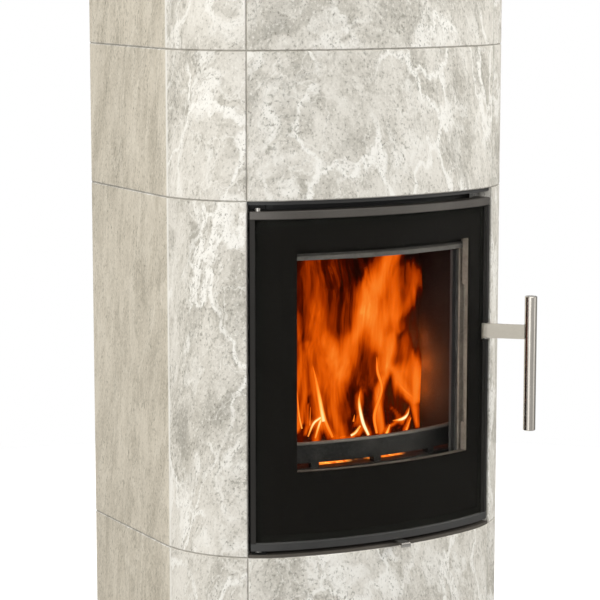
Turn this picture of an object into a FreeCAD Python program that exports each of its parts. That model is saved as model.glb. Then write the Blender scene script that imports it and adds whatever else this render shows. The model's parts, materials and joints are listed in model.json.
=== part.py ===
import FreeCAD, Part
import math
import os

# Soapstone-clad storage stove with a curved glazed door. Millimetres.
# Origin: middle of the footprint on the floor. +X right, -Y to the front, +Z up.

# Plan of the stone shell: flat sides, round corners, gently bowed front
BODY_WIDTH = 540.0
SIDE_FLAT = 231.0
CORNER_RADIUS = 157.0
BOW_RADIUS = 563.0
SIDE_RETURN = 68.5
STONE = 40.0
STONE_EASE = 1.8

# Heights of the courses
FOOT_HEIGHT = 15.0
PLINTH_HEIGHT = 40.0
BASE_PLATE = 5.0
BASE_COURSE = 290.0
DOOR_COURSE = 500.0
UPPER_COURSE = 205.0
TOP_STONE = 40.0

# Foot of the stove
FOOT_RADIUS = 25.0
FOOT_STUD_RADIUS = 6.0
FOOT_STUD_LENGTH = 28.0
FOOT_EDGE = 85.0
FOOT_FORWARD = 42.5
PLINTH_INSET = 25.0
BASE_PLATE_INSET = 3.0

# Steel firebox behind the stone
SHEET = 4.0
JAMB_INSET = 44.0
JAMB_REACH = 52.5
HEAD_PLATE = 5.0
HEAD_LIP_INSET = 5.0
HEAD_FLANGE = 37.0
FRAME_SILL_HEIGHT = 24.0
FRAME_SILL_RAISE = 10.0
CHAMBER_BACK = 21.0
LINING = 30.0
SILL_INSET = 0.5

# Hearth, ash space and what stands in the fire
HEARTH_RAISE = 113.0
HEARTH_PLATE = 12.0
ASH_SHEET = 3.0
ASH_BOX_SPARE = 4.0
ASH_PAN_SPARE = 28.0
ASH_PAN_LENGTH = 130.0
ASH_PAN_HEIGHT = 50.0
PAN_SHEET = 2.0
PAN_LIP = 12.5
PAN_LIP_WIDTH = 125.0
GRATE_WIDTH = 190.0
GRATE_LENGTH = 110.0
GRATE_THICKNESS = 8.0
GRATE_LEDGE = 8.0
GRATE_SLOT = 9.0
GRATE_BARS = 9
GRATE_Y = -45.0
BAFFLE = 25.0
BAFFLE_CLEAR = 25.0
BAFFLE_FRONT_Y = -75.0
GUARD_INSET = 54.0
GUARD_THICKNESS = 12.0
GUARD_BEHIND_JAMB = 16.0
GUARD_RAISE = 7.0
GUARD_HEIGHT = 29.0
GUARD_BEVEL = 3.0
GUARD_POST = 12.0
GUARD_POST_SPACING = 100.0
GUARD_POST_SHIFT = 16.0

# Heat store and flue
STORE_INSET = 52.0
STORE_BACK_GAP = 52.0
STORE_SIDE_GAP = 15.0
REAR_STORE_GAP = 5.0
STORE_TOP_GAP = 10.0
FLUE_RADIUS = 75.5
PASSAGE_RADIUS = 70.0
FLUE_Y = -25.0
COLLAR_WALL = 3.0
COLLAR_FLANGE = 27.0
COLLAR_FLANGE_THICKNESS = 4.0
COLLAR_PROUD = 25.0

# Combustion air
PEDESTAL_WIDTH = 240.0
PEDESTAL_BEHIND = 55.0
PEDESTAL_BACK_Y = 120.0
SPIGOT_RADIUS = 50.0
SPIGOT_WALL = 3.0
SPIGOT_STEP = 1.0
SPIGOT_HEIGHT = 160.0
SPIGOT_FLANGE = 15.0
SPIGOT_PROUD = 19.0
AIR_SLOT = 40.0
AIR_SLOT_DEPTH = 12.0
AIR_SLOTS = 3
AIR_SLOT_PITCH = 62.0
SLIDE_WIDTH = 186.0
SLIDE_DEPTH = 32.0
SLIDE_BEHIND = 53.0
SLIDE_THICKNESS = 1.5
GUIDE_WIDTH = 4.0
GUIDE_HEIGHT = 1.2
LEVER_X = 20.0
LEVER_WIDTH = 15.0
LEVER_THICKNESS = 2.5
LEVER_PROUD = 19.0
LEVER_LIP = 6.5
LEVER_BEND = 2.0

# Back of the stove
PANEL_SHEET = 2.0
PANEL_RECESS = 4.0
ANGLE_LEG = 20.0
ANGLE_SHEET = 3.0
VENT_LENGTH = 90.0
VENT_WIDTH = 8.0
VENT_PITCH = 22.0
VENT_ROWS = 5
VENT_COLUMNS = 3
VENT_MARGIN = 70.0
SCREW_RADIUS = 2.0
SCREW_HEAD_RADIUS = 4.6
SCREW_HEAD = 3.0
SCREWS_PER_SIDE = 4

# Door
GAP_HINGE = 4.0
GAP_LATCH = 7.0
GAP_TOP = 8.6
GAP_BOTTOM = 5.0
TRIM_HEIGHT = 11.5
TRIM_DEPTH = 20.0
TRIM_EASE = 1.0
EDGE_STRIP = 7.0
GLASS = 4.0
GLASS_RECESS = 1.8
GLASS_TAPE = 1.4
GLASS_BITE = 4.0
TAPE_WIDTH = 10.0
FRAME_SHEET = 3.0
DOOR_DEPTH = 34.0
SEAL = 10.0
SEAL_LIP = 12.0
SEAL_ALONG = 20.0
HINGE_STILE = 67.5
LATCH_STILE = 48.0
FOOT_RAIL = 98.0
HEAD_RAIL = 43.9
REVEAL_DEPTH = 20.0
REVEAL_STEP_DEPTH = 14.0
REVEAL_STEP_FOOT = 41.5
REVEAL_STEP_HEAD = 69.0
WASH_BAR_DEPTH = 6.0
WASH_BAR_HEIGHT = 9.0
WASH_BAR_DROP = 7.0
WASH_BAR_BEVEL = 3.0
WASH_BAR_WEB = 2.0

# Hinges on the left edge of the door
HINGE_ALONG = 14.0
HINGE_DEPTH = 9.0
HINGE_PIN_RADIUS = 4.0
HINGE_CLEARANCE = 0.05
HINGE_HOLD = 6.8
HINGE_COLLAR = 6.5
HINGE_COLLAR_HEIGHT = 1.0
BRACKET_LENGTH = 20.0
BRACKET_DEPTH = 19.0
BRACKET_EDGE = 9.0
BRACKET_FRONT = 4.5

# Handle and latch on the right edge of the door
PIVOT_ALONG = 7.5
PIVOT_DEPTH = 14.0
PIVOT_RADIUS = 3.0
PIVOT_CLEARANCE = 0.05
PIVOT_HEAD = 1.5
PIVOT_HEAD_RIM = 0.8
BOSS_RADIUS = 5.5
BOSS_HEIGHT = 24.0
LUG_THICKNESS = 6.0
LUG_CLEARANCE = 0.3
HANDLE_RAISE = 290.0
ARM_HEIGHT = 21.0
ARM_THICKNESS = 4.0
BAR_RADIUS = 9.0
BAR_LENGTH = 198.0
BAR_ABOVE_ARM = 53.0
BAR_ALONG = -9.4
BAR_PROUD = 59.3
BAR_EASE = 0.8
TONGUE_ALONG = 4.0
TONGUE_THICKNESS = 4.0
TONGUE_HEIGHT = 16.0
TONGUE_DEPTH = 35.0
NOTCH_ALONG = 17.0
NOTCH_CLEARANCE = 3.0
REBATE_DEPTH = 18.0
REBATE_ALONG = 16.0
ROLLER_ALONG = 13.2
ROLLER_DEPTH = 36.0
ROLLER_RADIUS = 4.5
ROLLER_PIN_RADIUS = 2.0
ROLLER_HEIGHT = 29.0
KEEPER_SHEET = 3.0
KEEPER_WIDTH = 8.0

# Clearances, the tolerance for faces that are one, and how far a cutter stands out
TOUCH_GAP = 0.3
TAPE_GAP = 0.3
PLATE_GAP = 0.5
HOLE_GAP = 0.1
SAME = 0.01
CUT_SPARE = 1.0

# Derived plan
HALF_WIDTH = BODY_WIDTH / 2
FRONT_PANEL_WIDTH = BODY_WIDTH - 2 * SIDE_RETURN
OPENING_WIDTH = FRONT_PANEL_WIDTH - 2 * JAMB_REACH
CHAMBER_WIDTH = BODY_WIDTH - 2 * (JAMB_INSET + SHEET + TOUCH_GAP + LINING)
ASH_BOX_WIDTH = OPENING_WIDTH + 2 * ASH_BOX_SPARE
ASH_PAN_WIDTH = ASH_BOX_WIDTH - 2 * ASH_PAN_SPARE
GUARD_WIDTH = OPENING_WIDTH + 2 * GUARD_BEHIND_JAMB
WINDOW_LEFT = FRONT_PANEL_WIDTH / 2 - HINGE_STILE
WINDOW_RIGHT = FRONT_PANEL_WIDTH / 2 - LATCH_STILE
CORNER_CENTRE_X = HALF_WIDTH - CORNER_RADIUS
CENTRE_DISTANCE = BOW_RADIUS - CORNER_RADIUS
BOW_OFFSET = math.sqrt(CENTRE_DISTANCE ** 2 - CORNER_CENTRE_X ** 2)
BOW_DEPTH = BOW_RADIUS - BOW_OFFSET
TANGENT_Y = (BOW_DEPTH - SIDE_FLAT) / 2
BACK_Y = TANGENT_Y + SIDE_FLAT
FRONT_Y = TANGENT_Y - BOW_DEPTH
PEDESTAL_FRONT_Y = FRONT_Y + PEDESTAL_BEHIND
SLIDE_FRONT_Y = FRONT_Y + SLIDE_BEHIND
BOW_CENTRE_Y = TANGENT_Y + BOW_OFFSET
BOW_HALF_ANGLE = math.degrees(math.asin(CORNER_CENTRE_X / CENTRE_DISTANCE))

# Derived heights
Z_PLINTH = FOOT_HEIGHT
Z_BASE_PLATE = Z_PLINTH + PLINTH_HEIGHT
Z_STONE = Z_BASE_PLATE + BASE_PLATE
Z_SILL = Z_STONE + BASE_COURSE
Z_FLOOR = Z_SILL + SHEET
Z_LINTEL = Z_SILL + DOOR_COURSE
Z_HEAD = Z_LINTEL - HEAD_PLATE
Z_CROWN = Z_LINTEL + UPPER_COURSE
Z_TOP = Z_CROWN + UPPER_COURSE
Z_ROOF = Z_TOP + TOP_STONE
Z_STORE_TOP = Z_TOP - STORE_TOP_GAP
Z_STORE_JOINT = (Z_LINTEL + Z_STORE_TOP) / 2
Z_HEARTH = Z_SILL + HEARTH_RAISE
Z_BAFFLE = Z_HEAD - BAFFLE_CLEAR - BAFFLE
Z_FRAME_SILL = Z_FLOOR + FRAME_SILL_RAISE
Z_ASH_FLOOR = Z_FRAME_SILL + FRAME_SILL_HEIGHT - ASH_SHEET
Z_DOOR = Z_FLOOR + GAP_BOTTOM
Z_DOOR_TOP = Z_HEAD - GAP_TOP
Z_FRAME = Z_DOOR + TRIM_HEIGHT
Z_FRAME_TOP = Z_DOOR_TOP - TRIM_HEIGHT
Z_HANDLE = Z_SILL + HANDLE_RAISE
Z_WINDOW = Z_FRAME + FOOT_RAIL
Z_WINDOW_TOP = Z_FRAME_TOP - HEAD_RAIL

# Derived depths
FRAME_FACE = GLASS_RECESS + GLASS + GLASS_TAPE
FRAME_BACK = FRAME_FACE + FRAME_SHEET
REAR_STEEL_Y = CHAMBER_BACK + LINING
STORE_BACK_Y = BACK_Y - STORE_BACK_GAP
PANEL_Y = BACK_Y - PANEL_RECESS - PANEL_SHEET
INNER_X = HALF_WIDTH - STONE

Vec = FreeCAD.Vector


def outline_point(angle, inset):
    """Plan point of the outline, moved inwards, where its normal stands at angle from the front."""
    turn = math.radians(angle)
    if abs(angle) <= BOW_HALF_ANGLE:
        radius = BOW_RADIUS - inset
        return (radius * math.sin(turn), BOW_CENTRE_Y - radius * math.cos(turn))
    radius = CORNER_RADIUS - inset
    centre_x = math.copysign(CORNER_CENTRE_X, angle)
    return (centre_x + radius * math.sin(turn), TANGENT_Y - radius * math.cos(turn))


def angle_at_x(x, inset):
    """Normal angle where the outline, moved inwards, reaches plan coordinate x."""
    side = math.copysign(1.0, x)
    bow_angle = math.degrees(math.asin(min(abs(x) / (BOW_RADIUS - inset), 1.0)))
    if bow_angle <= BOW_HALF_ANGLE:
        return side * bow_angle
    return side * math.degrees(math.asin((abs(x) - CORNER_CENTRE_X) / (CORNER_RADIUS - inset)))


JOINT_ANGLE = angle_at_x(FRONT_PANEL_WIDTH / 2, 0.0)
OPENING_ANGLE = angle_at_x(OPENING_WIDTH / 2, JAMB_INSET)


def angle_from_joint(along, inset):
    """Normal angle that lies a distance along the surface from the stone joint, into the front."""
    return JOINT_ANGLE - math.degrees(along / (CORNER_RADIUS - inset))


def inset_of(point):
    """How far a point lies inside the outline in plan."""
    x = abs(point.x)
    if point.y >= TANGENT_Y:
        return HALF_WIDTH - x
    turn = math.degrees(math.atan2(x - CORNER_CENTRE_X, TANGENT_Y - point.y))
    if turn > BOW_HALF_ANGLE:
        return CORNER_RADIUS - math.hypot(x - CORNER_CENTRE_X, point.y - TANGENT_Y)
    return BOW_RADIUS - math.hypot(x, point.y - BOW_CENTRE_Y)


def line(start, end):
    return Part.LineSegment(Vec(start[0], start[1], 0), Vec(end[0], end[1], 0)).toShape()


def outline_arcs(angle_from, angle_to, inset):
    """Arcs of the outline between two normal angles, split where corner meets bow."""
    low, high = min(angle_from, angle_to), max(angle_from, angle_to)
    seams = [a for a in (-BOW_HALF_ANGLE, BOW_HALF_ANGLE) if low + 1e-6 < a < high - 1e-6]
    stops = [low] + seams + [high]
    arcs = []
    for first, last in zip(stops, stops[1:]):
        inside = (first + last) / 2
        on_bow = abs(inside) < BOW_HALF_ANGLE
        points = [Vec(*arc_point(a, inset, on_bow, inside), 0) for a in (first, inside, last)]
        arcs.append(Part.Arc(*points).toShape())
    return arcs


def arc_point(angle, inset, on_bow, inside):
    """Point of the bow or of the corner that holds the inside angle, also at their shared seam."""
    turn = math.radians(angle)
    if on_bow:
        radius = BOW_RADIUS - inset
        return (radius * math.sin(turn), BOW_CENTRE_Y - radius * math.cos(turn))
    radius = CORNER_RADIUS - inset
    centre_x = math.copysign(CORNER_CENTRE_X, inside)
    return (centre_x + radius * math.sin(turn), TANGENT_Y - radius * math.cos(turn))


def raise_edges(edges, low, high):
    """Solid between two heights on a closed plan made of edges."""
    wire = Part.Wire(Part.__sortEdges__(edges))
    face = Part.Face(wire)
    face.translate(Vec(0, 0, low))
    return face.extrude(Vec(0, 0, high - low))


def polygon_solid(points, low, high):
    edges = [line(a, b) for a, b in zip(points, points[1:] + points[:1])]
    return raise_edges(edges, low, high)


def block(x_low, x_high, y_low, y_high, z_low, z_high):
    corner = Vec(x_low, y_low, z_low)
    return Part.makeBox(x_high - x_low, y_high - y_low, z_high - z_low, corner)


def rod(x, y, low, high, radius):
    return Part.makeCylinder(radius, high - low, Vec(x, y, low))


def band(angle_from, angle_to, outer, inner, low, high):
    """Curved wall along the outline between two insets and two normal angles."""
    edges = outline_arcs(angle_from, angle_to, outer) + outline_arcs(angle_from, angle_to, inner)
    for angle in (angle_from, angle_to):
        edges.append(line(outline_point(angle, outer), outline_point(angle, inner)))
    return raise_edges(edges, low, high)


def plan_slab(inset, back_y, low, high):
    """Slab with the whole outline, moved inwards, and a straight back."""
    x = HALF_WIDTH - inset
    edges = outline_arcs(-90, 90, inset)
    corners = [(x, TANGENT_Y), (x, back_y), (-x, back_y), (-x, TANGENT_Y)]
    edges += [line(a, b) for a, b in zip(corners, corners[1:])]
    return raise_edges(edges, low, high)


def side_wall(side, angle_from, outer, inner, back_y, low, high):
    """Wall that starts in the front corner and runs straight to the back on one side."""
    outer_x = side * (HALF_WIDTH - outer)
    inner_x = side * (HALF_WIDTH - inner)
    edges = outline_arcs(side * angle_from, side * 90, outer)
    edges += outline_arcs(side * angle_from, side * 90, inner)
    edges.append(line(outline_point(side * angle_from, outer), outline_point(side * angle_from, inner)))
    corners = [(outer_x, TANGENT_Y), (outer_x, back_y), (inner_x, back_y), (inner_x, TANGENT_Y)]
    edges += [line(a, b) for a, b in zip(corners, corners[1:])]
    return raise_edges(edges, low, high)


def edge_point(side, along, depth):
    """Plan point measured from a stone joint: along the face into the front, and inwards."""
    turn = math.radians(JOINT_ANGLE)
    x, y = outline_point(side * JOINT_ANGLE, 0.0)
    x += side * (-along * math.cos(turn) - depth * math.sin(turn))
    y += -along * math.sin(turn) + depth * math.cos(turn)
    return (x, y)


def edge_block(side, along_low, along_high, depth_low, depth_high, low, high):
    """Straight block set out from a stone joint."""
    points = [edge_point(side, along_low, depth_low), edge_point(side, along_high, depth_low),
              edge_point(side, along_high, depth_high), edge_point(side, along_low, depth_high)]
    return polygon_solid(points, low, high)


def edge_rod(side, along, depth, low, high, radius):
    x, y = edge_point(side, along, depth)
    return rod(x, y, low, high, radius)


def on_seam(point):
    """True where two tangent faces of the outline meet."""
    seams = [outline_point(BOW_HALF_ANGLE, 0.0), (HALF_WIDTH, TANGENT_Y)]
    return any(math.hypot(abs(point.x) - x, point.y - y) < SAME for x, y in seams)


def ease_face(shape, width):
    """Break the edges that bound the outer face of a piece of the shell."""
    edges = []
    for edge in shape.Edges:
        ends = [edge.valueAt(edge.FirstParameter), edge.valueAt(edge.LastParameter)]
        middle = edge.valueAt((edge.FirstParameter + edge.LastParameter) / 2)
        if max(abs(inset_of(p)) for p in ends + [middle]) > SAME:
            continue
        upright = abs(ends[0].z - ends[1].z) > SAME
        if upright and on_seam(middle):
            continue
        edges.append(edge)
    return shape.makeChamfer(width, edges)


def join(shapes):
    solid = shapes[0].multiFuse(shapes[1:]) if len(shapes) > 1 else shapes[0]
    return solid.removeSplitter()


def hinge_axis():
    return edge_point(-1, HINGE_ALONG, HINGE_DEPTH)


def pivot_axis():
    return edge_point(1, PIVOT_ALONG, PIVOT_DEPTH)


def foot_places():
    x = HALF_WIDTH - FOOT_EDGE
    return [(sx * x, y) for sx in (-1, 1) for y in (TANGENT_Y - FOOT_FORWARD, BACK_Y - FOOT_EDGE)]


def levelling_feet():
    feet = []
    for x, y in foot_places():
        pad = rod(x, y, 0, FOOT_HEIGHT, FOOT_RADIUS)
        stud = rod(x, y, FOOT_HEIGHT, FOOT_HEIGHT + FOOT_STUD_LENGTH, FOOT_STUD_RADIUS)
        feet.append(join([pad, stud]))
    return Part.makeCompound(feet)


def plinth():
    slab = plan_slab(PLINTH_INSET, BACK_Y - PLINTH_INSET, Z_PLINTH, Z_BASE_PLATE)
    for x, y in foot_places():
        hole = rod(x, y, Z_PLINTH, Z_PLINTH + FOOT_STUD_LENGTH + TOUCH_GAP, FOOT_STUD_RADIUS + HOLE_GAP)
        slab = slab.cut(hole)
    return slab


def base_plate():
    return plan_slab(BASE_PLATE_INSET, BACK_Y - BASE_PLATE_INSET, Z_BASE_PLATE, Z_STONE)


def side_stone(side, low, high):
    return ease_face(side_wall(side, JOINT_ANGLE, 0.0, STONE, BACK_Y, low, high), STONE_EASE)


def door_side_stone(side):
    """Side stone of the door course, with a rebate behind its edge for the latch."""
    rebate = edge_block(side, -REBATE_ALONG, REBATE_ALONG, REBATE_DEPTH, STONE + REBATE_ALONG,
                        Z_SILL, Z_LINTEL)
    return side_stone(side, Z_SILL, Z_LINTEL).cut(rebate)


def front_stone(low, high):
    return ease_face(band(-JOINT_ANGLE, JOINT_ANGLE, 0.0, STONE, low, high), STONE_EASE)


def top_stone():
    slab = plan_slab(0.0, BACK_Y, Z_TOP, Z_ROOF)
    hole = rod(0, FLUE_Y, Z_TOP, Z_ROOF, FLUE_RADIUS + COLLAR_WALL + TOUCH_GAP)
    return ease_face(slab, STONE_EASE).cut(hole)


def air_pedestal():
    outer = block(-PEDESTAL_WIDTH / 2, PEDESTAL_WIDTH / 2, PEDESTAL_FRONT_Y, PEDESTAL_BACK_Y, Z_STONE, Z_SILL)
    inner = block(-PEDESTAL_WIDTH / 2 + SHEET, PEDESTAL_WIDTH / 2 - SHEET,
                  PEDESTAL_FRONT_Y + SHEET, PEDESTAL_BACK_Y - SHEET, Z_STONE, Z_SILL)
    inlet = Part.makeCylinder(SPIGOT_RADIUS - SPIGOT_WALL, 2 * SHEET,
                              Vec(0, PEDESTAL_BACK_Y - 1.5 * SHEET, SPIGOT_HEIGHT), Vec(0, 1, 0))
    return outer.cut(inner).cut(inlet)


def air_inlet_spigot():
    """Tube from the pedestal through the rear panel; the end behind the panel takes a duct."""
    start = Vec(0, PEDESTAL_BACK_Y, SPIGOT_HEIGHT)
    outside = Vec(0, PANEL_Y + PANEL_SHEET, SPIGOT_HEIGHT)
    length = BACK_Y + SPIGOT_PROUD - PEDESTAL_BACK_Y
    along = Vec(0, 1, 0)
    tube = Part.makeCylinder(SPIGOT_RADIUS - SPIGOT_STEP, length, start, along)
    end = Part.makeCylinder(SPIGOT_RADIUS, start.y + length - outside.y, outside, along)
    flange = Part.makeCylinder(SPIGOT_RADIUS + SPIGOT_FLANGE, SHEET, start, along)
    bore = Part.makeCylinder(SPIGOT_RADIUS - SPIGOT_WALL, length, start, along)
    return join([tube, end, flange]).cut(bore)


def air_slots(low, high, shift):
    """Cutters for the row of air slots, moved sideways by shift."""
    middle_y = SLIDE_FRONT_Y + SLIDE_DEPTH / 2
    cutters = []
    for index in range(AIR_SLOTS):
        x = shift + (index - (AIR_SLOTS - 1) / 2) * AIR_SLOT_PITCH
        cutters.append(block(x - AIR_SLOT / 2, x + AIR_SLOT / 2,
                             middle_y - AIR_SLOT_DEPTH / 2, middle_y + AIR_SLOT_DEPTH / 2, low, high))
    return Part.makeCompound(cutters)


def firebox_floor():
    """Floor sheet whose curved front edge is the sill, with air slots and guides for the slide."""
    end = JOINT_ANGLE - math.degrees(PLATE_GAP / CORNER_RADIUS)
    sill = band(-end, end, SILL_INSET, JAMB_INSET + SHEET, Z_SILL, Z_FLOOR)
    floor = plan_slab(JAMB_INSET, STORE_BACK_Y + SHEET, Z_SILL, Z_FLOOR)
    shapes = [floor, sill]
    half = SLIDE_WIDTH / 2
    for y in (SLIDE_FRONT_Y - TOUCH_GAP - GUIDE_WIDTH, SLIDE_FRONT_Y + SLIDE_DEPTH + TOUCH_GAP):
        shapes.append(block(-half, half, y, y + GUIDE_WIDTH, Z_FLOOR, Z_FLOOR + GUIDE_HEIGHT))
    return join(shapes).cut(air_slots(Z_SILL, Z_FLOOR, 0.0))


def firebox_side(side):
    """Bent side sheet: door jamb in front, flat wall behind."""
    return side_wall(side, OPENING_ANGLE, JAMB_INSET, JAMB_INSET + SHEET, REAR_STEEL_Y, Z_FLOOR, Z_HEAD)


def firebox_rear():
    x = HALF_WIDTH - JAMB_INSET
    return block(-x, x, REAR_STEEL_Y, REAR_STEEL_Y + SHEET, Z_FLOOR, Z_HEAD)


def head_end_angle():
    return JOINT_ANGLE - math.degrees(PLATE_GAP / CORNER_RADIUS)


def door_head():
    """Plate that carries the front lintel stone, with the sealing flange under it."""
    end = head_end_angle()
    plate = band(-end, end, HEAD_LIP_INSET, JAMB_INSET + SHEET, Z_HEAD, Z_LINTEL)
    flange = band(-OPENING_ANGLE, OPENING_ANGLE, JAMB_INSET, JAMB_INSET + SHEET, Z_HEAD - HEAD_FLANGE, Z_HEAD)
    return join([plate, flange])


def firebox_top():
    end = head_end_angle()
    plate = plan_slab(JAMB_INSET, STORE_BACK_Y + SHEET, Z_HEAD, Z_LINTEL)
    head_room = band(-end, end, 0.0, JAMB_INSET + SHEET, Z_HEAD, Z_LINTEL)
    flue = rod(0, FLUE_Y, Z_HEAD, Z_LINTEL, PASSAGE_RADIUS)
    return plate.cut(head_room).cut(flue)


def frame_sill():
    return band(-OPENING_ANGLE, OPENING_ANGLE, JAMB_INSET, JAMB_INSET + SHEET,
                Z_FRAME_SILL, Z_FRAME_SILL + FRAME_SILL_HEIGHT)


def ash_box():
    """Channel under the hearth that the ash pan stands in."""
    half = ASH_BOX_WIDTH / 2
    room = plan_slab(JAMB_INSET + SHEET, REAR_STEEL_Y, Z_ASH_FLOOR, Z_HEARTH - HEARTH_PLATE)
    outer = block(-half, half, FRONT_Y, REAR_STEEL_Y, Z_ASH_FLOOR, Z_HEARTH - HEARTH_PLATE)
    inner = block(-half + ASH_SHEET, half - ASH_SHEET, FRONT_Y, REAR_STEEL_Y,
                  Z_ASH_FLOOR + ASH_SHEET, Z_HEARTH - HEARTH_PLATE)
    return outer.cut(inner).common(room)


def ash_pan():
    """Folded tray with a finger lip along its front edge."""
    half = ASH_PAN_WIDTH / 2
    back = CHAMBER_BACK
    front = back - ASH_PAN_LENGTH
    low = Z_ASH_FLOOR + ASH_SHEET
    high = low + ASH_PAN_HEIGHT
    outer = block(-half, half, front, back, low, high)
    inner = block(-half + PAN_SHEET, half - PAN_SHEET, front + PAN_SHEET, back - PAN_SHEET,
                  low + PAN_SHEET, high)
    lip = block(-PAN_LIP_WIDTH / 2, PAN_LIP_WIDTH / 2, front - PAN_LIP, front + PAN_SHEET,
                high - PAN_SHEET, high)
    return join([outer.cut(inner), lip])


def hearth_plate():
    """Cast plate with a ledge that holds the grate."""
    low = Z_HEARTH - HEARTH_PLATE
    plate = plan_slab(JAMB_INSET + SHEET + TOUCH_GAP, REAR_STEEL_Y - TOUCH_GAP, low, Z_HEARTH)
    seat = grate_block(TOUCH_GAP, Z_HEARTH - GRATE_THICKNESS, Z_HEARTH)
    drop = grate_block(-GRATE_LEDGE, low, Z_HEARTH)
    return plate.cut(seat).cut(drop)


def grate_block(grow, low, high):
    x = GRATE_WIDTH / 2 + grow
    y = GRATE_LENGTH / 2 + grow
    return block(-x, x, GRATE_Y - y, GRATE_Y + y, low, high)


def grate():
    low = Z_HEARTH - GRATE_THICKNESS
    plate = grate_block(0.0, low, Z_HEARTH)
    pitch = (GRATE_WIDTH - 2 * GRATE_LEDGE) / GRATE_BARS
    half_slot = GRATE_LENGTH / 2 - 2 * GRATE_LEDGE
    slots = []
    for index in range(GRATE_BARS):
        x = (index - (GRATE_BARS - 1) / 2) * pitch
        slots.append(block(x - GRATE_SLOT / 2, x + GRATE_SLOT / 2,
                           GRATE_Y - half_slot, GRATE_Y + half_slot, low, Z_HEARTH))
    return plate.cut(Part.makeCompound(slots))


def chamber_room(low, high):
    """Space inside the steel firebox."""
    return plan_slab(JAMB_INSET + SHEET + TOUCH_GAP, REAR_STEEL_Y - TOUCH_GAP, low, high)


def lining_side(side):
    x_inner = CHAMBER_WIDTH / 2
    x_outer = HALF_WIDTH
    low, high = sorted((side * x_inner, side * x_outer))
    board = block(low, high, FRONT_Y, REAR_STEEL_Y, Z_HEARTH, Z_BAFFLE)
    return board.common(chamber_room(Z_HEARTH, Z_BAFFLE))


def lining_rear():
    x = CHAMBER_WIDTH / 2 - TOUCH_GAP
    return block(-x, x, CHAMBER_BACK, REAR_STEEL_Y - TOUCH_GAP, Z_HEARTH, Z_BAFFLE)


def baffle_plate():
    slab = block(-HALF_WIDTH, HALF_WIDTH, BAFFLE_FRONT_Y, REAR_STEEL_Y, Z_BAFFLE, Z_BAFFLE + BAFFLE)
    return slab.common(chamber_room(Z_BAFFLE, Z_BAFFLE + BAFFLE))


def log_guard():
    """Curved cast bar with a bevelled top edge on three short posts; its ends bend back behind the jambs."""
    low = Z_HEARTH + GUARD_RAISE
    high = low + GUARD_HEIGHT
    inner = GUARD_INSET + GUARD_THICKNESS
    end = angle_at_x(GUARD_WIDTH / 2, GUARD_INSET)
    bar = band(-end, end, GUARD_INSET, inner, low, high)
    top = [e for e in bar.Edges if all(abs(v.Z - high) < SAME for v in e.Vertexes)]
    long_top = [e for e in top if e.Length > 1.5 * GUARD_THICKNESS]
    shapes = [bar.makeChamfer(GUARD_BEVEL, long_top)]
    half_post = math.degrees(GUARD_POST / 2 / (BOW_RADIUS - GUARD_INSET))
    spacing = math.degrees(GUARD_POST_SPACING / (BOW_RADIUS - GUARD_INSET))
    shift = math.degrees(GUARD_POST_SHIFT / (BOW_RADIUS - GUARD_INSET))
    for angle in (shift - spacing, shift, shift + spacing):
        shapes.append(band(angle - half_post, angle + half_post, GUARD_INSET, inner, Z_HEARTH, low))
    return join(shapes)


def store_block(low, high):
    """Heat-storage stone over the firebox; its passage is narrower than the collar, so a pipe stops on it."""
    slab = plan_slab(STORE_INSET, STORE_BACK_Y, low, high)
    return slab.cut(rod(0, FLUE_Y, low, high, PASSAGE_RADIUS))


def storage_block_rear():
    x = INNER_X - STORE_SIDE_GAP
    front = REAR_STEEL_Y + SHEET + REAR_STORE_GAP
    return block(-x, x, front, STORE_BACK_Y, Z_FLOOR, Z_HEAD)


def flue_collar():
    tube = rod(0, FLUE_Y, Z_STORE_TOP, Z_ROOF + COLLAR_PROUD, FLUE_RADIUS + COLLAR_WALL)
    flange = rod(0, FLUE_Y, Z_STORE_TOP, Z_STORE_TOP + COLLAR_FLANGE_THICKNESS, FLUE_RADIUS + COLLAR_FLANGE)
    bore = rod(0, FLUE_Y, Z_STORE_TOP, Z_ROOF + COLLAR_PROUD, FLUE_RADIUS)
    return join([tube, flange]).cut(bore)


def screw_places():
    x = INNER_X - ANGLE_LEG / 2
    low = Z_STONE + VENT_MARGIN
    step = (Z_TOP - VENT_MARGIN - low) / (SCREWS_PER_SIDE - 1)
    return [(side * x, low + index * step) for side in (-1, 1) for index in range(SCREWS_PER_SIDE)]


def screw_rod(x, z, start_y, end_y, radius):
    return Part.makeCylinder(radius, end_y - start_y, Vec(x, start_y, z), Vec(0, 1, 0))


def rear_panel():
    """Back sheet with rows of vents low and high, and the hole for the air inlet."""
    x = INNER_X - TOUCH_GAP
    sheet = block(-x, x, PANEL_Y, PANEL_Y + PANEL_SHEET, Z_STONE, Z_TOP - TOUCH_GAP)
    cutters = [screw_rod(0, SPIGOT_HEIGHT, PANEL_Y, PANEL_Y + PANEL_SHEET, SPIGOT_RADIUS + TOUCH_GAP)]
    for px, pz in screw_places():
        cutters.append(screw_rod(px, pz, PANEL_Y, PANEL_Y + PANEL_SHEET, SCREW_RADIUS + HOLE_GAP))
    vent_low = Z_SILL + VENT_MARGIN
    vent_high = Z_TOP - VENT_MARGIN - VENT_ROWS * VENT_PITCH
    for start in (vent_low, vent_high):
        for row in range(VENT_ROWS):
            for column in range(VENT_COLUMNS):
                middle = (column - (VENT_COLUMNS - 1) / 2) * (VENT_LENGTH + VENT_PITCH)
                cutters.append(vent_slot(middle, start + row * VENT_PITCH))
    return sheet.cut(Part.makeCompound(cutters))


def vent_slot(x, z):
    """Cutter for one vent."""
    return block(x - VENT_LENGTH / 2, x + VENT_LENGTH / 2, PANEL_Y, PANEL_Y + PANEL_SHEET,
                 z - VENT_WIDTH / 2, z + VENT_WIDTH / 2)


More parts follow.
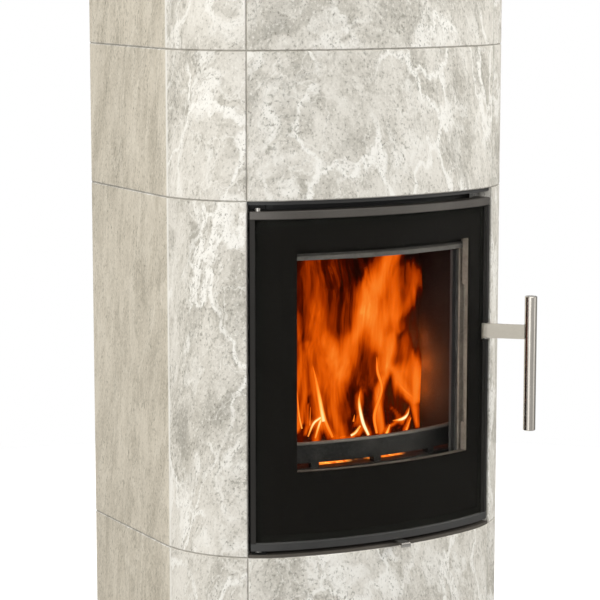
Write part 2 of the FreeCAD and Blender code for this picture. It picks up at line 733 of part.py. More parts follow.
def rear_angles():
    angles = []
    for side in (-1, 1):
        x_in, x_leg = side * (INNER_X - ANGLE_LEG), side * (INNER_X - ANGLE_SHEET)
        x_out = side * INNER_X
        flat = block(min(x_in, x_out), max(x_in, x_out), PANEL_Y - ANGLE_SHEET, PANEL_Y, Z_STONE, Z_TOP)
        leg = block(min(x_leg, x_out), max(x_leg, x_out), PANEL_Y - ANGLE_LEG, PANEL_Y, Z_STONE, Z_TOP)
        angle = join([flat, leg])
        for px, pz in screw_places():
            if px * side > 0:
                angle = angle.cut(screw_rod(px, pz, PANEL_Y - ANGLE_SHEET, PANEL_Y, SCREW_RADIUS + HOLE_GAP))
        angles.append(angle)
    return Part.makeCompound(angles)


def rear_panel_screws():
    """Hexagon screws through the panel into the angles."""
    screws = []
    face = PANEL_Y + PANEL_SHEET
    for x, z in screw_places():
        shank = screw_rod(x, z, PANEL_Y - ANGLE_SHEET - SCREW_HEAD, face, SCREW_RADIUS)
        screws.append(join([shank, hexagon(x, z, face, SCREW_HEAD, SCREW_HEAD_RADIUS)]))
    return Part.makeCompound(screws)


def hexagon(x, z, start_y, height, radius):
    """Hexagon prism that points to the back."""
    turns = [math.radians(60 * index) for index in range(7)]
    corners = [Vec(x + radius * math.cos(t), start_y, z + radius * math.sin(t)) for t in turns]
    return Part.Face(Part.makePolygon(corners)).extrude(Vec(0, height, 0))


def hinge_bracket(low, high, hole_low, hole_high):
    plate = edge_block(-1, HINGE_ALONG - BRACKET_EDGE, HINGE_ALONG - BRACKET_EDGE + BRACKET_LENGTH,
                       HINGE_DEPTH - BRACKET_FRONT, HINGE_DEPTH - BRACKET_FRONT + BRACKET_DEPTH, low, high)
    x, y = hinge_axis()
    return plate.cut(rod(x, y, hole_low, hole_high, HINGE_PIN_RADIUS + HINGE_CLEARANCE))


def bracket_thickness():
    return GAP_BOTTOM - HINGE_COLLAR_HEIGHT


def hinge_bracket_upper():
    low = Z_HEAD - bracket_thickness()
    return hinge_bracket(low, Z_HEAD, low, Z_HEAD)


def hinge_bracket_lower():
    high = Z_FLOOR + bracket_thickness()
    return hinge_bracket(Z_FLOOR, high, Z_FLOOR, high)


def hinge_pins():
    """Stub pins held in the door's top and bottom strips; the lower one carries the door on its collar."""
    x, y = hinge_axis()
    upper = rod(x, y, Z_DOOR_TOP - HINGE_HOLD, Z_HEAD - TOUCH_GAP, HINGE_PIN_RADIUS)
    lower = rod(x, y, Z_FLOOR + TOUCH_GAP, Z_DOOR + HINGE_HOLD, HINGE_PIN_RADIUS)
    collar = rod(x, y, Z_FLOOR + bracket_thickness(), Z_DOOR, HINGE_COLLAR)
    return Part.makeCompound([upper, join([lower, collar])])


def door_ends():
    """Normal angles of the door's left and right edges."""
    left = -angle_from_joint(GAP_HINGE, 0.0)
    right = angle_from_joint(GAP_LATCH, 0.0)
    return left, right


def glass_ends():
    left = -angle_from_joint(GAP_HINGE + EDGE_STRIP + TOUCH_GAP, 0.0)
    right = angle_from_joint(GAP_LATCH + EDGE_STRIP + TOUCH_GAP, 0.0)
    return left, right


def window_ends():
    return angle_at_x(-WINDOW_LEFT, FRAME_FACE), angle_at_x(WINDOW_RIGHT, FRAME_FACE)


def seal_ends(along):
    angle = angle_from_joint(along, DOOR_DEPTH)
    return -angle, angle


def band_ring(ends, inner_ends, outer, inner, low, high, rim):
    """Curved picture-frame: a band with a smaller opening, rim high at top and bottom."""
    hole = band(inner_ends[0], inner_ends[1], outer - CUT_SPARE, inner + CUT_SPARE, low + rim, high - rim)
    return band(ends[0], ends[1], outer, inner, low, high).cut(hole)


def latch_notch(depth_low, depth_high):
    """Room in the door's right edge for the lever and its swing."""
    half = BOSS_HEIGHT / 2 + LUG_CLEARANCE
    return edge_block(1, -NOTCH_ALONG, NOTCH_ALONG, depth_low, depth_high, Z_HANDLE - half, Z_HANDLE + half)


def door_frame():
    """Pressed steel frame: face behind the glass, window reveal, side webs, lip for the seal, pivot lugs."""
    left, right = door_ends()
    window = window_ends()
    sheet_angle = math.degrees(FRAME_SHEET / BOW_RADIUS)
    around = (window[0] - sheet_angle, window[1] + sheet_angle)
    window_cut = band(window[0], window[1], FRAME_FACE - CUT_SPARE, REVEAL_DEPTH + CUT_SPARE,
                      Z_WINDOW, Z_WINDOW_TOP)
    face = band(left, right, FRAME_FACE, FRAME_BACK, Z_FRAME, Z_FRAME_TOP)
    reveal = band(around[0], around[1], FRAME_BACK, REVEAL_DEPTH,
                  Z_WINDOW - FRAME_SHEET, Z_WINDOW_TOP + FRAME_SHEET)
    step = band(2 * around[0], 2 * around[1], REVEAL_STEP_DEPTH, REVEAL_DEPTH + CUT_SPARE,
                Z_WINDOW + REVEAL_STEP_FOOT, Z_WINDOW_TOP - REVEAL_STEP_HEAD)
    web_out, web_in = seal_ends(SEAL_ALONG), seal_ends(SEAL_ALONG + FRAME_SHEET)
    lip_in = seal_ends(SEAL_ALONG + SEAL_LIP)
    web = band_ring(web_out, web_in, FRAME_BACK, DOOR_DEPTH, Z_FRAME, Z_FRAME_TOP, FRAME_SHEET)
    lip = band_ring(web_out, lip_in, DOOR_DEPTH - FRAME_SHEET, DOOR_DEPTH, Z_FRAME, Z_FRAME_TOP, SEAL_LIP)
    notch = latch_notch(FRAME_FACE - FRAME_SHEET, FRAME_BACK + FRAME_SHEET)
    pieces = [face.cut(notch), reveal.cut(step), web, lip] + pivot_lugs()
    return join([join(pieces).cut(window_cut)])


def lug_heights():
    """Low and high faces of the lower and the upper pivot lug."""
    half = BOSS_HEIGHT / 2 + LUG_CLEARANCE
    low, high = Z_HANDLE - half, Z_HANDLE + half
    return [(low - LUG_THICKNESS, low), (high, high + LUG_THICKNESS)]


def pivot_lugs():
    x, y = pivot_axis()
    lugs = []
    for low, high in lug_heights():
        lug = edge_block(1, PIVOT_ALONG - BOSS_RADIUS, SEAL_ALONG + 2 * FRAME_SHEET,
                         FRAME_BACK - FRAME_SHEET / 2, PIVOT_DEPTH + BOSS_RADIUS, low, high)
        lugs.append(lug.cut(rod(x, y, low, high, PIVOT_RADIUS + HOLE_GAP)))
    return lugs


def door_glass():
    left, right = glass_ends()
    return band(left, right, GLASS_RECESS, GLASS_RECESS + GLASS,
                Z_FRAME - GLASS_BITE + TOUCH_GAP, Z_FRAME_TOP + GLASS_BITE - TOUCH_GAP)


def glass_tape():
    """Flat tape between the glass and the frame, near the edges of the glass."""
    left, right = glass_ends()
    tape = math.degrees(TAPE_WIDTH / CORNER_RADIUS)
    back = GLASS_RECESS + GLASS
    ring = band_ring((left, right), (left + tape, right - tape), back + TAPE_GAP, FRAME_FACE - TAPE_GAP,
                     Z_FRAME, Z_FRAME_TOP, TAPE_WIDTH)
    return ring.cut(latch_notch(0.0, FRAME_BACK))


def ease_trim(shape):
    """Break the front edges of a door strip."""
    edges = []
    for edge in shape.Edges:
        points = [edge.valueAt(edge.FirstParameter), edge.valueAt(edge.LastParameter)]
        if max(abs(inset_of(p)) for p in points) < SAME and abs(points[0].z - points[1].z) < SAME:
            edges.append(edge)
    return shape.makeChamfer(TRIM_EASE, edges)


def door_strip(low, high, groove_low, groove_high, pin_low, pin_high):
    """Steel strip across the door with a groove for the glass and a hole for the hinge pin."""
    left, right = door_ends()
    strip = ease_trim(band(left, right, 0.0, TRIM_DEPTH, low, high))
    groove_left, groove_right = glass_ends()
    spare = math.degrees(TOUCH_GAP / CORNER_RADIUS)
    groove = band(groove_left - spare, groove_right + spare, GLASS_RECESS - TOUCH_GAP,
                  GLASS_RECESS + GLASS + TOUCH_GAP, groove_low, groove_high)
    x, y = hinge_axis()
    pin_hole = rod(x, y, pin_low, pin_high, HINGE_PIN_RADIUS + HINGE_CLEARANCE)
    return strip.cut(groove).cut(pin_hole)


def door_top_strip():
    return door_strip(Z_FRAME_TOP, Z_DOOR_TOP, Z_FRAME_TOP, Z_FRAME_TOP + GLASS_BITE,
                      Z_DOOR_TOP - HINGE_HOLD, Z_DOOR_TOP)


def door_bottom_strip():
    return door_strip(Z_DOOR, Z_FRAME, Z_FRAME - GLASS_BITE, Z_FRAME, Z_DOOR, Z_DOOR + HINGE_HOLD)


def door_edge_strips():
    """Upright strips beside the glass; the right one is open where the lever comes through."""
    left, right = door_ends()
    width = math.degrees(EDGE_STRIP / CORNER_RADIUS)
    hinge_strip = band(left, left + width, 0.0, FRAME_FACE, Z_FRAME, Z_FRAME_TOP)
    latch_strip = band(right - width, right, 0.0, FRAME_FACE, Z_FRAME, Z_FRAME_TOP)
    latch_strip = latch_strip.cut(latch_notch(-NOTCH_ALONG, NOTCH_ALONG))
    return Part.makeCompound([hinge_strip] + latch_strip.Solids)


def air_wash_bar():
    """Bevelled bar behind the head of the window, with a web at its back, that steers air down the glass."""
    window = window_ends()
    reach = math.degrees(FRAME_SHEET / BOW_RADIUS)
    ends = (window[0] - reach, window[1] + reach)
    high = Z_WINDOW_TOP - WASH_BAR_DROP
    low = high - WASH_BAR_HEIGHT
    back = REVEAL_DEPTH + WASH_BAR_DEPTH
    bar = band(*ends, REVEAL_DEPTH, back, low, high)
    top = [e for e in bar.Edges if all(abs(v.Z - high) < SAME for v in e.Vertexes)]
    front = [e for e in top
             if abs(inset_of(e.Vertexes[0].Point) - REVEAL_DEPTH) < SAME and e.Length > 2 * back]
    web = band(*ends, back - WASH_BAR_WEB, back, high, Z_WINDOW_TOP + FRAME_SHEET)
    return join([bar.makeChamfer(WASH_BAR_BEVEL, front), web])


def door_seal():
    """Rope seal on the lip behind the door."""
    start = SEAL_ALONG + (SEAL_LIP - SEAL) / 2
    edge = (SEAL_LIP - SEAL) / 2
    return band_ring(seal_ends(start), seal_ends(start + SEAL), DOOR_DEPTH, JAMB_INSET - TOUCH_GAP,
                     Z_FRAME + edge, Z_FRAME_TOP - edge, SEAL)


def handle_pin():
    x, y = pivot_axis()
    lugs = lug_heights()
    low, high = lugs[0][0], lugs[1][1]
    pin = rod(x, y, low, high, PIVOT_RADIUS)
    heads = [rod(x, y, low - PIVOT_HEAD, low, PIVOT_RADIUS + PIVOT_HEAD_RIM),
             rod(x, y, high, high + PIVOT_HEAD, PIVOT_RADIUS + PIVOT_HEAD_RIM)]
    return join([pin] + heads)


def handle_lever():
    """Boss on the pivot, flat arm out to the bar, tongue inwards to the keeper."""
    x, y = pivot_axis()
    bar_x, bar_y = edge_point(1, BAR_ALONG, -BAR_PROUD)
    half = BOSS_HEIGHT / 2
    boss = rod(x, y, Z_HANDLE - half, Z_HANDLE + half, BOSS_RADIUS)
    length = math.hypot(bar_x - x, bar_y - y)
    ux, uy = (bar_x - x) / length, (bar_y - y) / length
    wx, wy = -uy * ARM_THICKNESS / 2, ux * ARM_THICKNESS / 2
    points = [(x + wx, y + wy), (bar_x + wx, bar_y + wy), (bar_x - wx, bar_y - wy), (x - wx, y - wy)]
    arm = polygon_solid(points, Z_HANDLE - ARM_HEIGHT / 2, Z_HANDLE + ARM_HEIGHT / 2)
    tongue = edge_block(1, TONGUE_ALONG, TONGUE_ALONG + TONGUE_THICKNESS, PIVOT_DEPTH, TONGUE_DEPTH,
                        Z_HANDLE - TONGUE_HEIGHT / 2, Z_HANDLE + TONGUE_HEIGHT / 2)
    lever = join([boss, arm, tongue])
    pin_hole = rod(x, y, Z_HANDLE - half, Z_HANDLE + half, PIVOT_RADIUS + PIVOT_CLEARANCE)
    bar_room = rod(bar_x, bar_y, Z_HANDLE - half, Z_HANDLE + half, BAR_RADIUS + PIVOT_CLEARANCE)
    return lever.cut(pin_hole).cut(bar_room)


def handle_bar():
    x, y = edge_point(1, BAR_ALONG, -BAR_PROUD)
    high = Z_HANDLE + BAR_ABOVE_ARM
    bar = rod(x, y, high - BAR_LENGTH, high, BAR_RADIUS)
    ends = [e for e in bar.Edges if len(e.Vertexes) == 1]
    return bar.makeChamfer(BAR_EASE, ends)


def roller_heights():
    return Z_HANDLE - ROLLER_HEIGHT / 2, Z_HANDLE + ROLLER_HEIGHT / 2


def latch_keeper():
    """Bracket on the right jamb with two ears that hold the roller."""
    low, high = roller_heights()
    inner = angle_from_joint(ROLLER_ALONG + KEEPER_WIDTH / 2, JAMB_INSET)
    outer = angle_from_joint(ROLLER_ALONG - KEEPER_WIDTH / 2, JAMB_INSET)
    ear_low, ear_high = low - TOUCH_GAP - KEEPER_SHEET, high + TOUCH_GAP + KEEPER_SHEET
    foot = band(inner, outer, JAMB_INSET - KEEPER_SHEET, JAMB_INSET, ear_low, ear_high)
    shapes = [foot]
    for start in (ear_low, ear_high - KEEPER_SHEET):
        ear = edge_block(1, ROLLER_ALONG - KEEPER_WIDTH / 2, ROLLER_ALONG + KEEPER_WIDTH / 2,
                         ROLLER_DEPTH - KEEPER_WIDTH / 2, JAMB_INSET - KEEPER_SHEET / 2,
                         start, start + KEEPER_SHEET)
        shapes.append(ear)
    hole = edge_rod(1, ROLLER_ALONG, ROLLER_DEPTH, ear_low, ear_high, ROLLER_PIN_RADIUS + HOLE_GAP)
    return join(shapes).cut(hole)


def keeper_roller():
    """Roller on its rivet."""
    low, high = roller_heights()
    sheet = KEEPER_SHEET + TOUCH_GAP
    roller = edge_rod(1, ROLLER_ALONG, ROLLER_DEPTH, low, high, ROLLER_RADIUS)
    rivet = edge_rod(1, ROLLER_ALONG, ROLLER_DEPTH, low - sheet, high + sheet, ROLLER_PIN_RADIUS)
    return join([roller, rivet])


def air_slide():
    """Shutter plate that slides between the guides over the slots in the floor."""
    plate = block(LEVER_X - SLIDE_WIDTH / 2, LEVER_X + SLIDE_WIDTH / 2,
                  SLIDE_FRONT_Y, SLIDE_FRONT_Y + SLIDE_DEPTH, Z_FLOOR, Z_FLOOR + SLIDE_THICKNESS)
    return plate.cut(air_slots(Z_FLOOR, Z_FLOOR + SLIDE_THICKNESS, LEVER_X))


def air_lever():
    """Flat lever on the slide that comes out under the door and turns down in a short lip."""
    low = Z_FLOOR + SLIDE_THICKNESS
    high = low + LEVER_THICKNESS
    front = FRONT_Y - LEVER_PROUD
    side = LEVER_WIDTH / 2
    flat = block(LEVER_X - side, LEVER_X + side, front, SLIDE_FRONT_Y + SLIDE_DEPTH, low, high)
    lip = block(LEVER_X - side, LEVER_X + side, front, front + LEVER_THICKNESS, high - LEVER_LIP, high)
    lever = join([flat, lip])
    bend = [e for e in lever.Edges
            if all(abs(v.Y - front) < SAME and abs(v.Z - high) < SAME for v in e.Vertexes)]
    return lever.makeFillet(LEVER_BEND, bend)


def stove_pieces():
    """Every piece of the stove by its node name."""
    pieces = {
        "levelling_feet": levelling_feet(),
        "plinth": plinth(),
        "base_plate": base_plate(),
        "base_stone_left": side_stone(-1, Z_STONE, Z_SILL),
        "base_stone_right": side_stone(1, Z_STONE, Z_SILL),
        "base_stone_front": front_stone(Z_STONE, Z_SILL),
        "door_stone_left": door_side_stone(-1),
        "door_stone_right": door_side_stone(1),
        "lintel_stone_left": side_stone(-1, Z_LINTEL, Z_CROWN),
        "lintel_stone_right": side_stone(1, Z_LINTEL, Z_CROWN),
        "lintel_stone_front": front_stone(Z_LINTEL, Z_CROWN),
        "crown_stone_left": side_stone(-1, Z_CROWN, Z_TOP),
        "crown_stone_right": side_stone(1, Z_CROWN, Z_TOP),
        "crown_stone_front": front_stone(Z_CROWN, Z_TOP),
        "top_stone": top_stone(),
        "rear_panel": rear_panel(),
        "rear_angles": rear_angles(),
        "rear_panel_screws": rear_panel_screws(),
        "air_pedestal": air_pedestal(),
        "air_inlet_spigot": air_inlet_spigot(),
        "firebox_floor": firebox_floor(),
        "firebox_side_left": firebox_side(-1),
        "firebox_side_right": firebox_side(1),
        "firebox_rear": firebox_rear(),
        "firebox_top": firebox_top(),
        "door_head": door_head(),
        "frame_sill": frame_sill(),
        "ash_box": ash_box(),
        "ash_pan": ash_pan(),
        "hearth_plate": hearth_plate(),
        "grate": grate(),
        "lining_left": lining_side(-1),
        "lining_right": lining_side(1),
        "lining_rear": lining_rear(),
        "baffle_plate": baffle_plate(),
        "log_guard": log_guard(),
        "storage_block_rear": storage_block_rear(),
        "storage_block_lower": store_block(Z_LINTEL, Z_STORE_JOINT),
        "storage_block_upper": store_block(Z_STORE_JOINT, Z_STORE_TOP),
        "flue_collar": flue_collar(),
        "hinge_bracket_upper": hinge_bracket_upper(),
        "hinge_bracket_lower": hinge_bracket_lower(),
        "latch_keeper": latch_keeper(),
        "keeper_roller": keeper_roller(),
        "door_frame": door_frame(),
        "door_glass": door_glass(),
        "glass_tape": glass_tape(),
        "door_top_strip": door_top_strip(),
        "door_bottom_strip": door_bottom_strip(),
        "door_edge_strips": door_edge_strips(),
        "air_wash_bar": air_wash_bar(),
        "door_seal": door_seal(),
        "hinge_pins": hinge_pins(),
        "handle_pin": handle_pin(),
        "handle_lever": handle_lever(),
        "handle_bar": handle_bar(),
        "air_slide": air_slide(),
        "air_lever": air_lever(),
    }
    return pieces


os.makedirs("parts", exist_ok=True)
for node, shape in stove_pieces().items():
    shape.exportStep("parts/" + node + ".step")
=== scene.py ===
"""Looks of a soapstone storage stove with a bowed front and a curved glazed door.

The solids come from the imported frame. This script gives each of them its finish, winds the rope seal behind
the door, lays a fire on the grate, and sets a pale studio with a camera at the photograph's angle.
Metres throughout: +X right, -Y to the front, +Z up, origin on the floor.
"""

from __future__ import annotations

import json
import logging
import math
from dataclasses import dataclass, field
from enum import Enum
from typing import Callable, Iterable, Mapping, Sequence, Union

import bmesh
import bpy
import numpy as np
from mathutils import Matrix, Vector, noise

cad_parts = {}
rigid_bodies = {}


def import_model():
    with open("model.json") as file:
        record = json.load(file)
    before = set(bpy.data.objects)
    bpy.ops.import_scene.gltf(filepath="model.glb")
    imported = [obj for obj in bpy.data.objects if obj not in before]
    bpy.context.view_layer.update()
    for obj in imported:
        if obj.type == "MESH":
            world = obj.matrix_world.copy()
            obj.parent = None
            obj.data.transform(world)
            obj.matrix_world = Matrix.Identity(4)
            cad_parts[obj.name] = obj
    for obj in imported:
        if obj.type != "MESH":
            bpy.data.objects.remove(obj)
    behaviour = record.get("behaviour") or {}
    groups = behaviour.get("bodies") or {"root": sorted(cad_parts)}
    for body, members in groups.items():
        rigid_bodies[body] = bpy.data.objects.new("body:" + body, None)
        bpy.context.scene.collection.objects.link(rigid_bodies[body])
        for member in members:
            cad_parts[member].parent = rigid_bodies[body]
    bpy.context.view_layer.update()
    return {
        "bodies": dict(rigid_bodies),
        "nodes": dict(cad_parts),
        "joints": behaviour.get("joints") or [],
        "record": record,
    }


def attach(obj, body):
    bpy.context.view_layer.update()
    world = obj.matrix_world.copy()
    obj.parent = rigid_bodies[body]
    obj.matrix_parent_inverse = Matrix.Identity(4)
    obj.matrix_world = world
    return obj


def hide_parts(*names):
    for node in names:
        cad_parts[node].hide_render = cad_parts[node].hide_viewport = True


LOG = logging.getLogger("stove")
# Top of the hearth plate, which the fire lies on
HEARTH = 0.463

Colour = tuple[float, float, float]
Point = tuple[float, float, float]
Socket = bpy.types.NodeSocket
Feed = Union[Socket, float, Sequence[float]]
Inputs = Mapping[Union[int, str], Feed]
Row = list[bmesh.types.BMVert]
PointAt = Callable[[float, float], Point]


class Graph:
    """Adds and links shader nodes in one node tree."""

    def __init__(self, tree: bpy.types.NodeTree) -> None:
        """Keep the tree that nodes are added to."""
        self.tree = tree

    def node(self, kind: str, inputs: Inputs | None = None, **settings: object) -> bpy.types.Node:
        """Add a node.

        Args:
            kind: Node type without its ShaderNode prefix.
            inputs: What goes into its inputs, by label or place.
            settings: Properties to set on the node.

        Returns:
            The new node.
        """
        made = self.tree.nodes.new("ShaderNode" + kind)
        for name, value in settings.items():
            setattr(made, name, value)
        self.supply(made, inputs or {})
        return made

    def supply(self, node: bpy.types.Node, inputs: Inputs) -> None:
        """Link or set several inputs of a node."""
        for key, value in inputs.items():
            self.feed(node.inputs[key], value)

    def feed(self, socket: Socket, value: Feed) -> None:
        """Link a socket into another, or set it to a constant.

        Args:
            socket: Input to fill.
            value: Output to link, or a number, vector or colour.
        """
        if isinstance(value, bpy.types.NodeSocket):
            self.tree.links.new(value, socket)
        elif isinstance(value, (int, float)):
            socket.default_value = value
        else:
            needed = len(socket.default_value)
            socket.default_value = (tuple(value) + (1.0,))[:needed]

    def math(self, operation: str, first: Feed, second: Feed = 0.0, clamp: bool = False) -> Socket:
        """Combine two values, kept between 0 and 1 if clamped, and return the result's socket."""
        return self.node("Math", {0: first, 1: second}, operation=operation, use_clamp=clamp).outputs[0]

    def plus(self, first: Feed, second: Feed) -> Socket:
        """Add two values."""
        return self.math("ADD", first, second)

    def minus(self, first: Feed, second: Feed) -> Socket:
        """Take the second value from the first."""
        return self.math("SUBTRACT", first, second)

    def times(self, first: Feed, second: Feed, clamp: bool = False) -> Socket:
        """Multiply two values."""
        return self.math("MULTIPLY", first, second, clamp)

    def shift(self, first: Feed, second: Feed, operation: str = "ADD") -> Socket:
        """Combine two vectors and return the result's socket."""
        return self.node("VectorMath", {0: first, 1: second}, operation=operation).outputs[0]

    def swell(self, vector: Feed, factor: float) -> Socket:
        """Scale a vector by one number and return the result's socket."""
        return self.node("VectorMath", {0: vector, "Scale": factor}, operation="SCALE").outputs[0]

    def mapped(self, vector: Feed, place: Sequence[float] = (0, 0, 0), turn: Sequence[float] = (0, 0, 0),
               scale: Sequence[float] = (1, 1, 1)) -> Socket:
        """Move, turn and scale texture space, turns in radians, and return the coordinates."""
        inputs = {"Vector": vector, "Location": place, "Rotation": turn, "Scale": scale}
        return self.node("Mapping", inputs).outputs[0]

    def noise(self, vector: Feed, scale: Feed, detail: float = 2.0, roughness: float = 0.5,
              distortion: float = 0.0, colour: bool = False) -> Socket:
        """Add cloudy noise.

        Args:
            vector: Texture coordinates.
            scale: Noise frequency for each metre.
            detail: Octaves.
            roughness: Weight of the fine octaves.
            distortion: How far the noise bends itself.
            colour: Return the three-channel output.

        Returns:
            The value or colour socket.
        """
        made = self.node("TexNoise", {"Vector": vector, "Scale": scale, "Detail": detail,
                                      "Roughness": roughness, "Distortion": distortion})
        return made.outputs["Color" if colour else "Fac"]

    def cracks(self, vector: Feed, scale: float) -> Socket:
        """Add cracked cells and return the distance from the nearest crack."""
        made = self.node("TexVoronoi", {"Vector": vector, "Scale": scale}, feature="DISTANCE_TO_EDGE")
        return made.outputs["Distance"]

    def lumps(self, vector: Feed, scale: float) -> Socket:
        """Add soft cells and return a tone that each cell has for itself."""
        inputs = {"Vector": vector, "Scale": scale, "Smoothness": 0.35}
        return self.node("TexVoronoi", inputs, feature="SMOOTH_F1").outputs["Color"]

    def centred(self, vector: Feed, scale: float, detail: float, reach: float) -> Socket:
        """Add a vector field that points every way, for bending other textures."""
        cloud = self.noise(vector, scale, detail, 0.55, colour=True)
        return self.swell(self.shift(cloud, (0.5, 0.5, 0.5), "SUBTRACT"), reach)

    def step(self, value: Feed, low: float, high: float, start: float = 0.0, end: float = 1.0) -> Socket:
        """Ease a value from start, where it is low, to end, where it is high."""
        inputs = {"Value": value, "From Min": low, "From Max": high, "To Min": start, "To Max": end}
        return self.node("MapRange", inputs, interpolation_type="SMOOTHSTEP").outputs["Result"]

    def choose(self, mask: Feed, first: Feed, second: Feed) -> Socket:
        """Take the first value where the mask is 0 and the second where it is 1."""
        return self.node("Mix", {0: mask, 2: first, 3: second}, data_type="FLOAT").outputs[0]

    def apart(self, vector: Feed) -> tuple[Socket, Socket, Socket]:
        """Split a vector into X, Y and Z."""
        return tuple(self.node("SeparateXYZ", {0: vector}).outputs)

    def length(self, first: Feed, second: Feed) -> Socket:
        """Length of the plan vector with these two sides."""
        return self.math("SQRT", self.plus(self.times(first, first), self.times(second, second)))

    def ramp(self, value: Feed, stops: Sequence[tuple[float, Colour]]) -> Socket:
        """Turn a value into a colour along a row of stops.

        Args:
            value: Value to colour.
            stops: Values and their colours, in order.

        Returns:
            The colour socket.
        """
        made = self.node("ValToRGB", {"Fac": value})
        elements = made.color_ramp.elements
        while len(elements) < len(stops):
            elements.new(0.5)
        for element, (position, colour) in zip(elements, stops):
            element.position = position
            element.color = (*colour, 1.0)
        return made.outputs["Color"]

    def mix(self, factor: Feed, first: Feed, second: Feed, blend: str = "MIX") -> Socket:
        """Blend two colours and return the result's socket."""
        inputs = {0: factor, 6: first, 7: second}
        return self.node("Mix", inputs, data_type="RGBA", blend_type=blend).outputs[2]


@dataclass(frozen=True)
class BowedPlan:
    """Plan of the shell: flat sides, round corners, bowed front."""

    half_width: float = 0.270
    side_flat: float = 0.231
    corner_radius: float = 0.157
    bow_radius: float = 0.563
    # Where the saw-cut flat sides end, a little past the tangent: their tint, partly painted shade, and the
    # painted highlight on their edge stop here.
    saw_cut_and_shade_end: float = 0.021

    @property
    def corner_x(self) -> float:
        """X of the corner arcs' centres."""
        return self.half_width - self.corner_radius

    @property
    def bow_offset(self) -> float:
        """How far the bow's centre lies behind the corners' centres."""
        return math.sqrt((self.bow_radius - self.corner_radius) ** 2 - self.corner_x ** 2)

    @property
    def tangent_y(self) -> float:
        """Y where the flat sides end."""
        return (self.bow_radius - self.bow_offset - self.side_flat) / 2

    @property
    def bow_y(self) -> float:
        """Y of the bow's centre."""
        return self.tangent_y + self.bow_offset

    @property
    def bow_half(self) -> float:
        """Half the bow's angle."""
        return math.asin(self.corner_x / (self.bow_radius - self.corner_radius))

    def point(self, angle: float, inset: float) -> tuple[float, float]:
        """Find a plan point.

        Args:
            angle: Direction of the outline's normal from the front, in radians.
            inset: Distance inside the outline.

        Returns:
            X and Y.
        """
        if abs(angle) <= self.bow_half:
            radius = self.bow_radius - inset
            return radius * math.sin(angle), self.bow_y - radius * math.cos(angle)
        radius = self.corner_radius - inset
        return (math.copysign(self.corner_x, angle) + radius * math.sin(angle),
                self.tangent_y - radius * math.cos(angle))


PLAN = BowedPlan()


class SharedEffect:
    """A shader node group that several finishes place with their own values.

    It takes a Place and the numbers in takes, with their defaults, and gives outputs of the kinds in gives.
    """

    name: str = ""
    takes: Mapping[str, float] = {}
    gives: Mapping[str, str] = {}

    def tree(self) -> bpy.types.NodeTree:
        """Build the group, or take it if it is there.

        Returns:
            The group's node tree.
        """
        made = bpy.data.node_groups.get(self.name)
        if made is not None:
            return made
        made = bpy.data.node_groups.new(self.name, "ShaderNodeTree")
        made.interface.new_socket("Place", in_out="INPUT", socket_type="NodeSocketVector")
        for label, start in self.takes.items():
            socket = made.interface.new_socket(label, in_out="INPUT", socket_type="NodeSocketFloat")
            socket.default_value = start
        for label, kind in self.gives.items():
            made.interface.new_socket(label, in_out="OUTPUT", socket_type="NodeSocket" + kind)
        graph = Graph(made)
        entry = made.nodes.new("NodeGroupInput")
        leave = made.nodes.new("NodeGroupOutput")
        for label, socket in self.wire(graph, entry.outputs).items():
            made.links.new(socket, leave.inputs[label])
        return made

    def wire(self, graph: Graph, given: Mapping[str, Socket]) -> dict[str, Socket]:
        """Lay the group's nodes and return its outputs by label."""
        raise NotImplementedError

    def use(self, graph: Graph, **values: Feed) -> bpy.types.Node:
        """Place the group in a material, its inputs by label with underscores for spaces."""
        inputs = {label.replace("_", " "): value for label, value in values.items()}
        return graph.node("Group", inputs, node_tree=self.tree())


class ShellDepth(SharedEffect):
    """Depth of a point inside the shell's plan, a mask of the saw-cut sides, whose tint is partly painted
    shade, and one of the painted highlight on the edge they end at.
    """

    name = "shell_depth"
    gives = {"Depth": "Float", "Side": "Float", "Arris Highlight": "Float"}

    def wire(self, graph: Graph, given: Mapping[str, Socket]) -> dict[str, Socket]:
        """Measure from the flat side, the corner arc or the bow, whichever faces the point.

        Args:
            graph: The group's graph.
            given: Its inputs by label.

        Returns:
            Its outputs by label.
        """
        x, y, _ = graph.apart(given["Place"])
        x = graph.math("ABSOLUTE", x)
        flat = graph.minus(PLAN.half_width, x)
        from_corner = graph.minus(x, PLAN.corner_x)
        ahead = graph.minus(PLAN.tangent_y, y)
        corner = graph.minus(PLAN.corner_radius, graph.length(from_corner, ahead))
        bow = graph.minus(PLAN.bow_radius, graph.length(x, graph.minus(y, PLAN.bow_y)))
        bow_end = graph.times(ahead, math.tan(PLAN.bow_half))
        past_bow = graph.math("GREATER_THAN", from_corner, bow_end)
        behind = graph.math("LESS_THAN", ahead, 0.0)
        depth = graph.choose(behind, graph.choose(past_bow, bow, corner), flat)
        # The flat sides' tint, partly painted shade, ends a little ahead of where the flat side meets the
        # corner.
        beyond = graph.minus(ahead, PLAN.saw_cut_and_shade_end)
        # Painted highlight: a pale line along the edge where the flat side ends.
        arris_highlight = graph.step(graph.math("ABSOLUTE", beyond), 0.0008, 0.0032, 1.0, 0.0)
        return {"Depth": depth, "Side": graph.step(beyond, 0.0008, -0.0008), "Arris Highlight": arris_highlight}


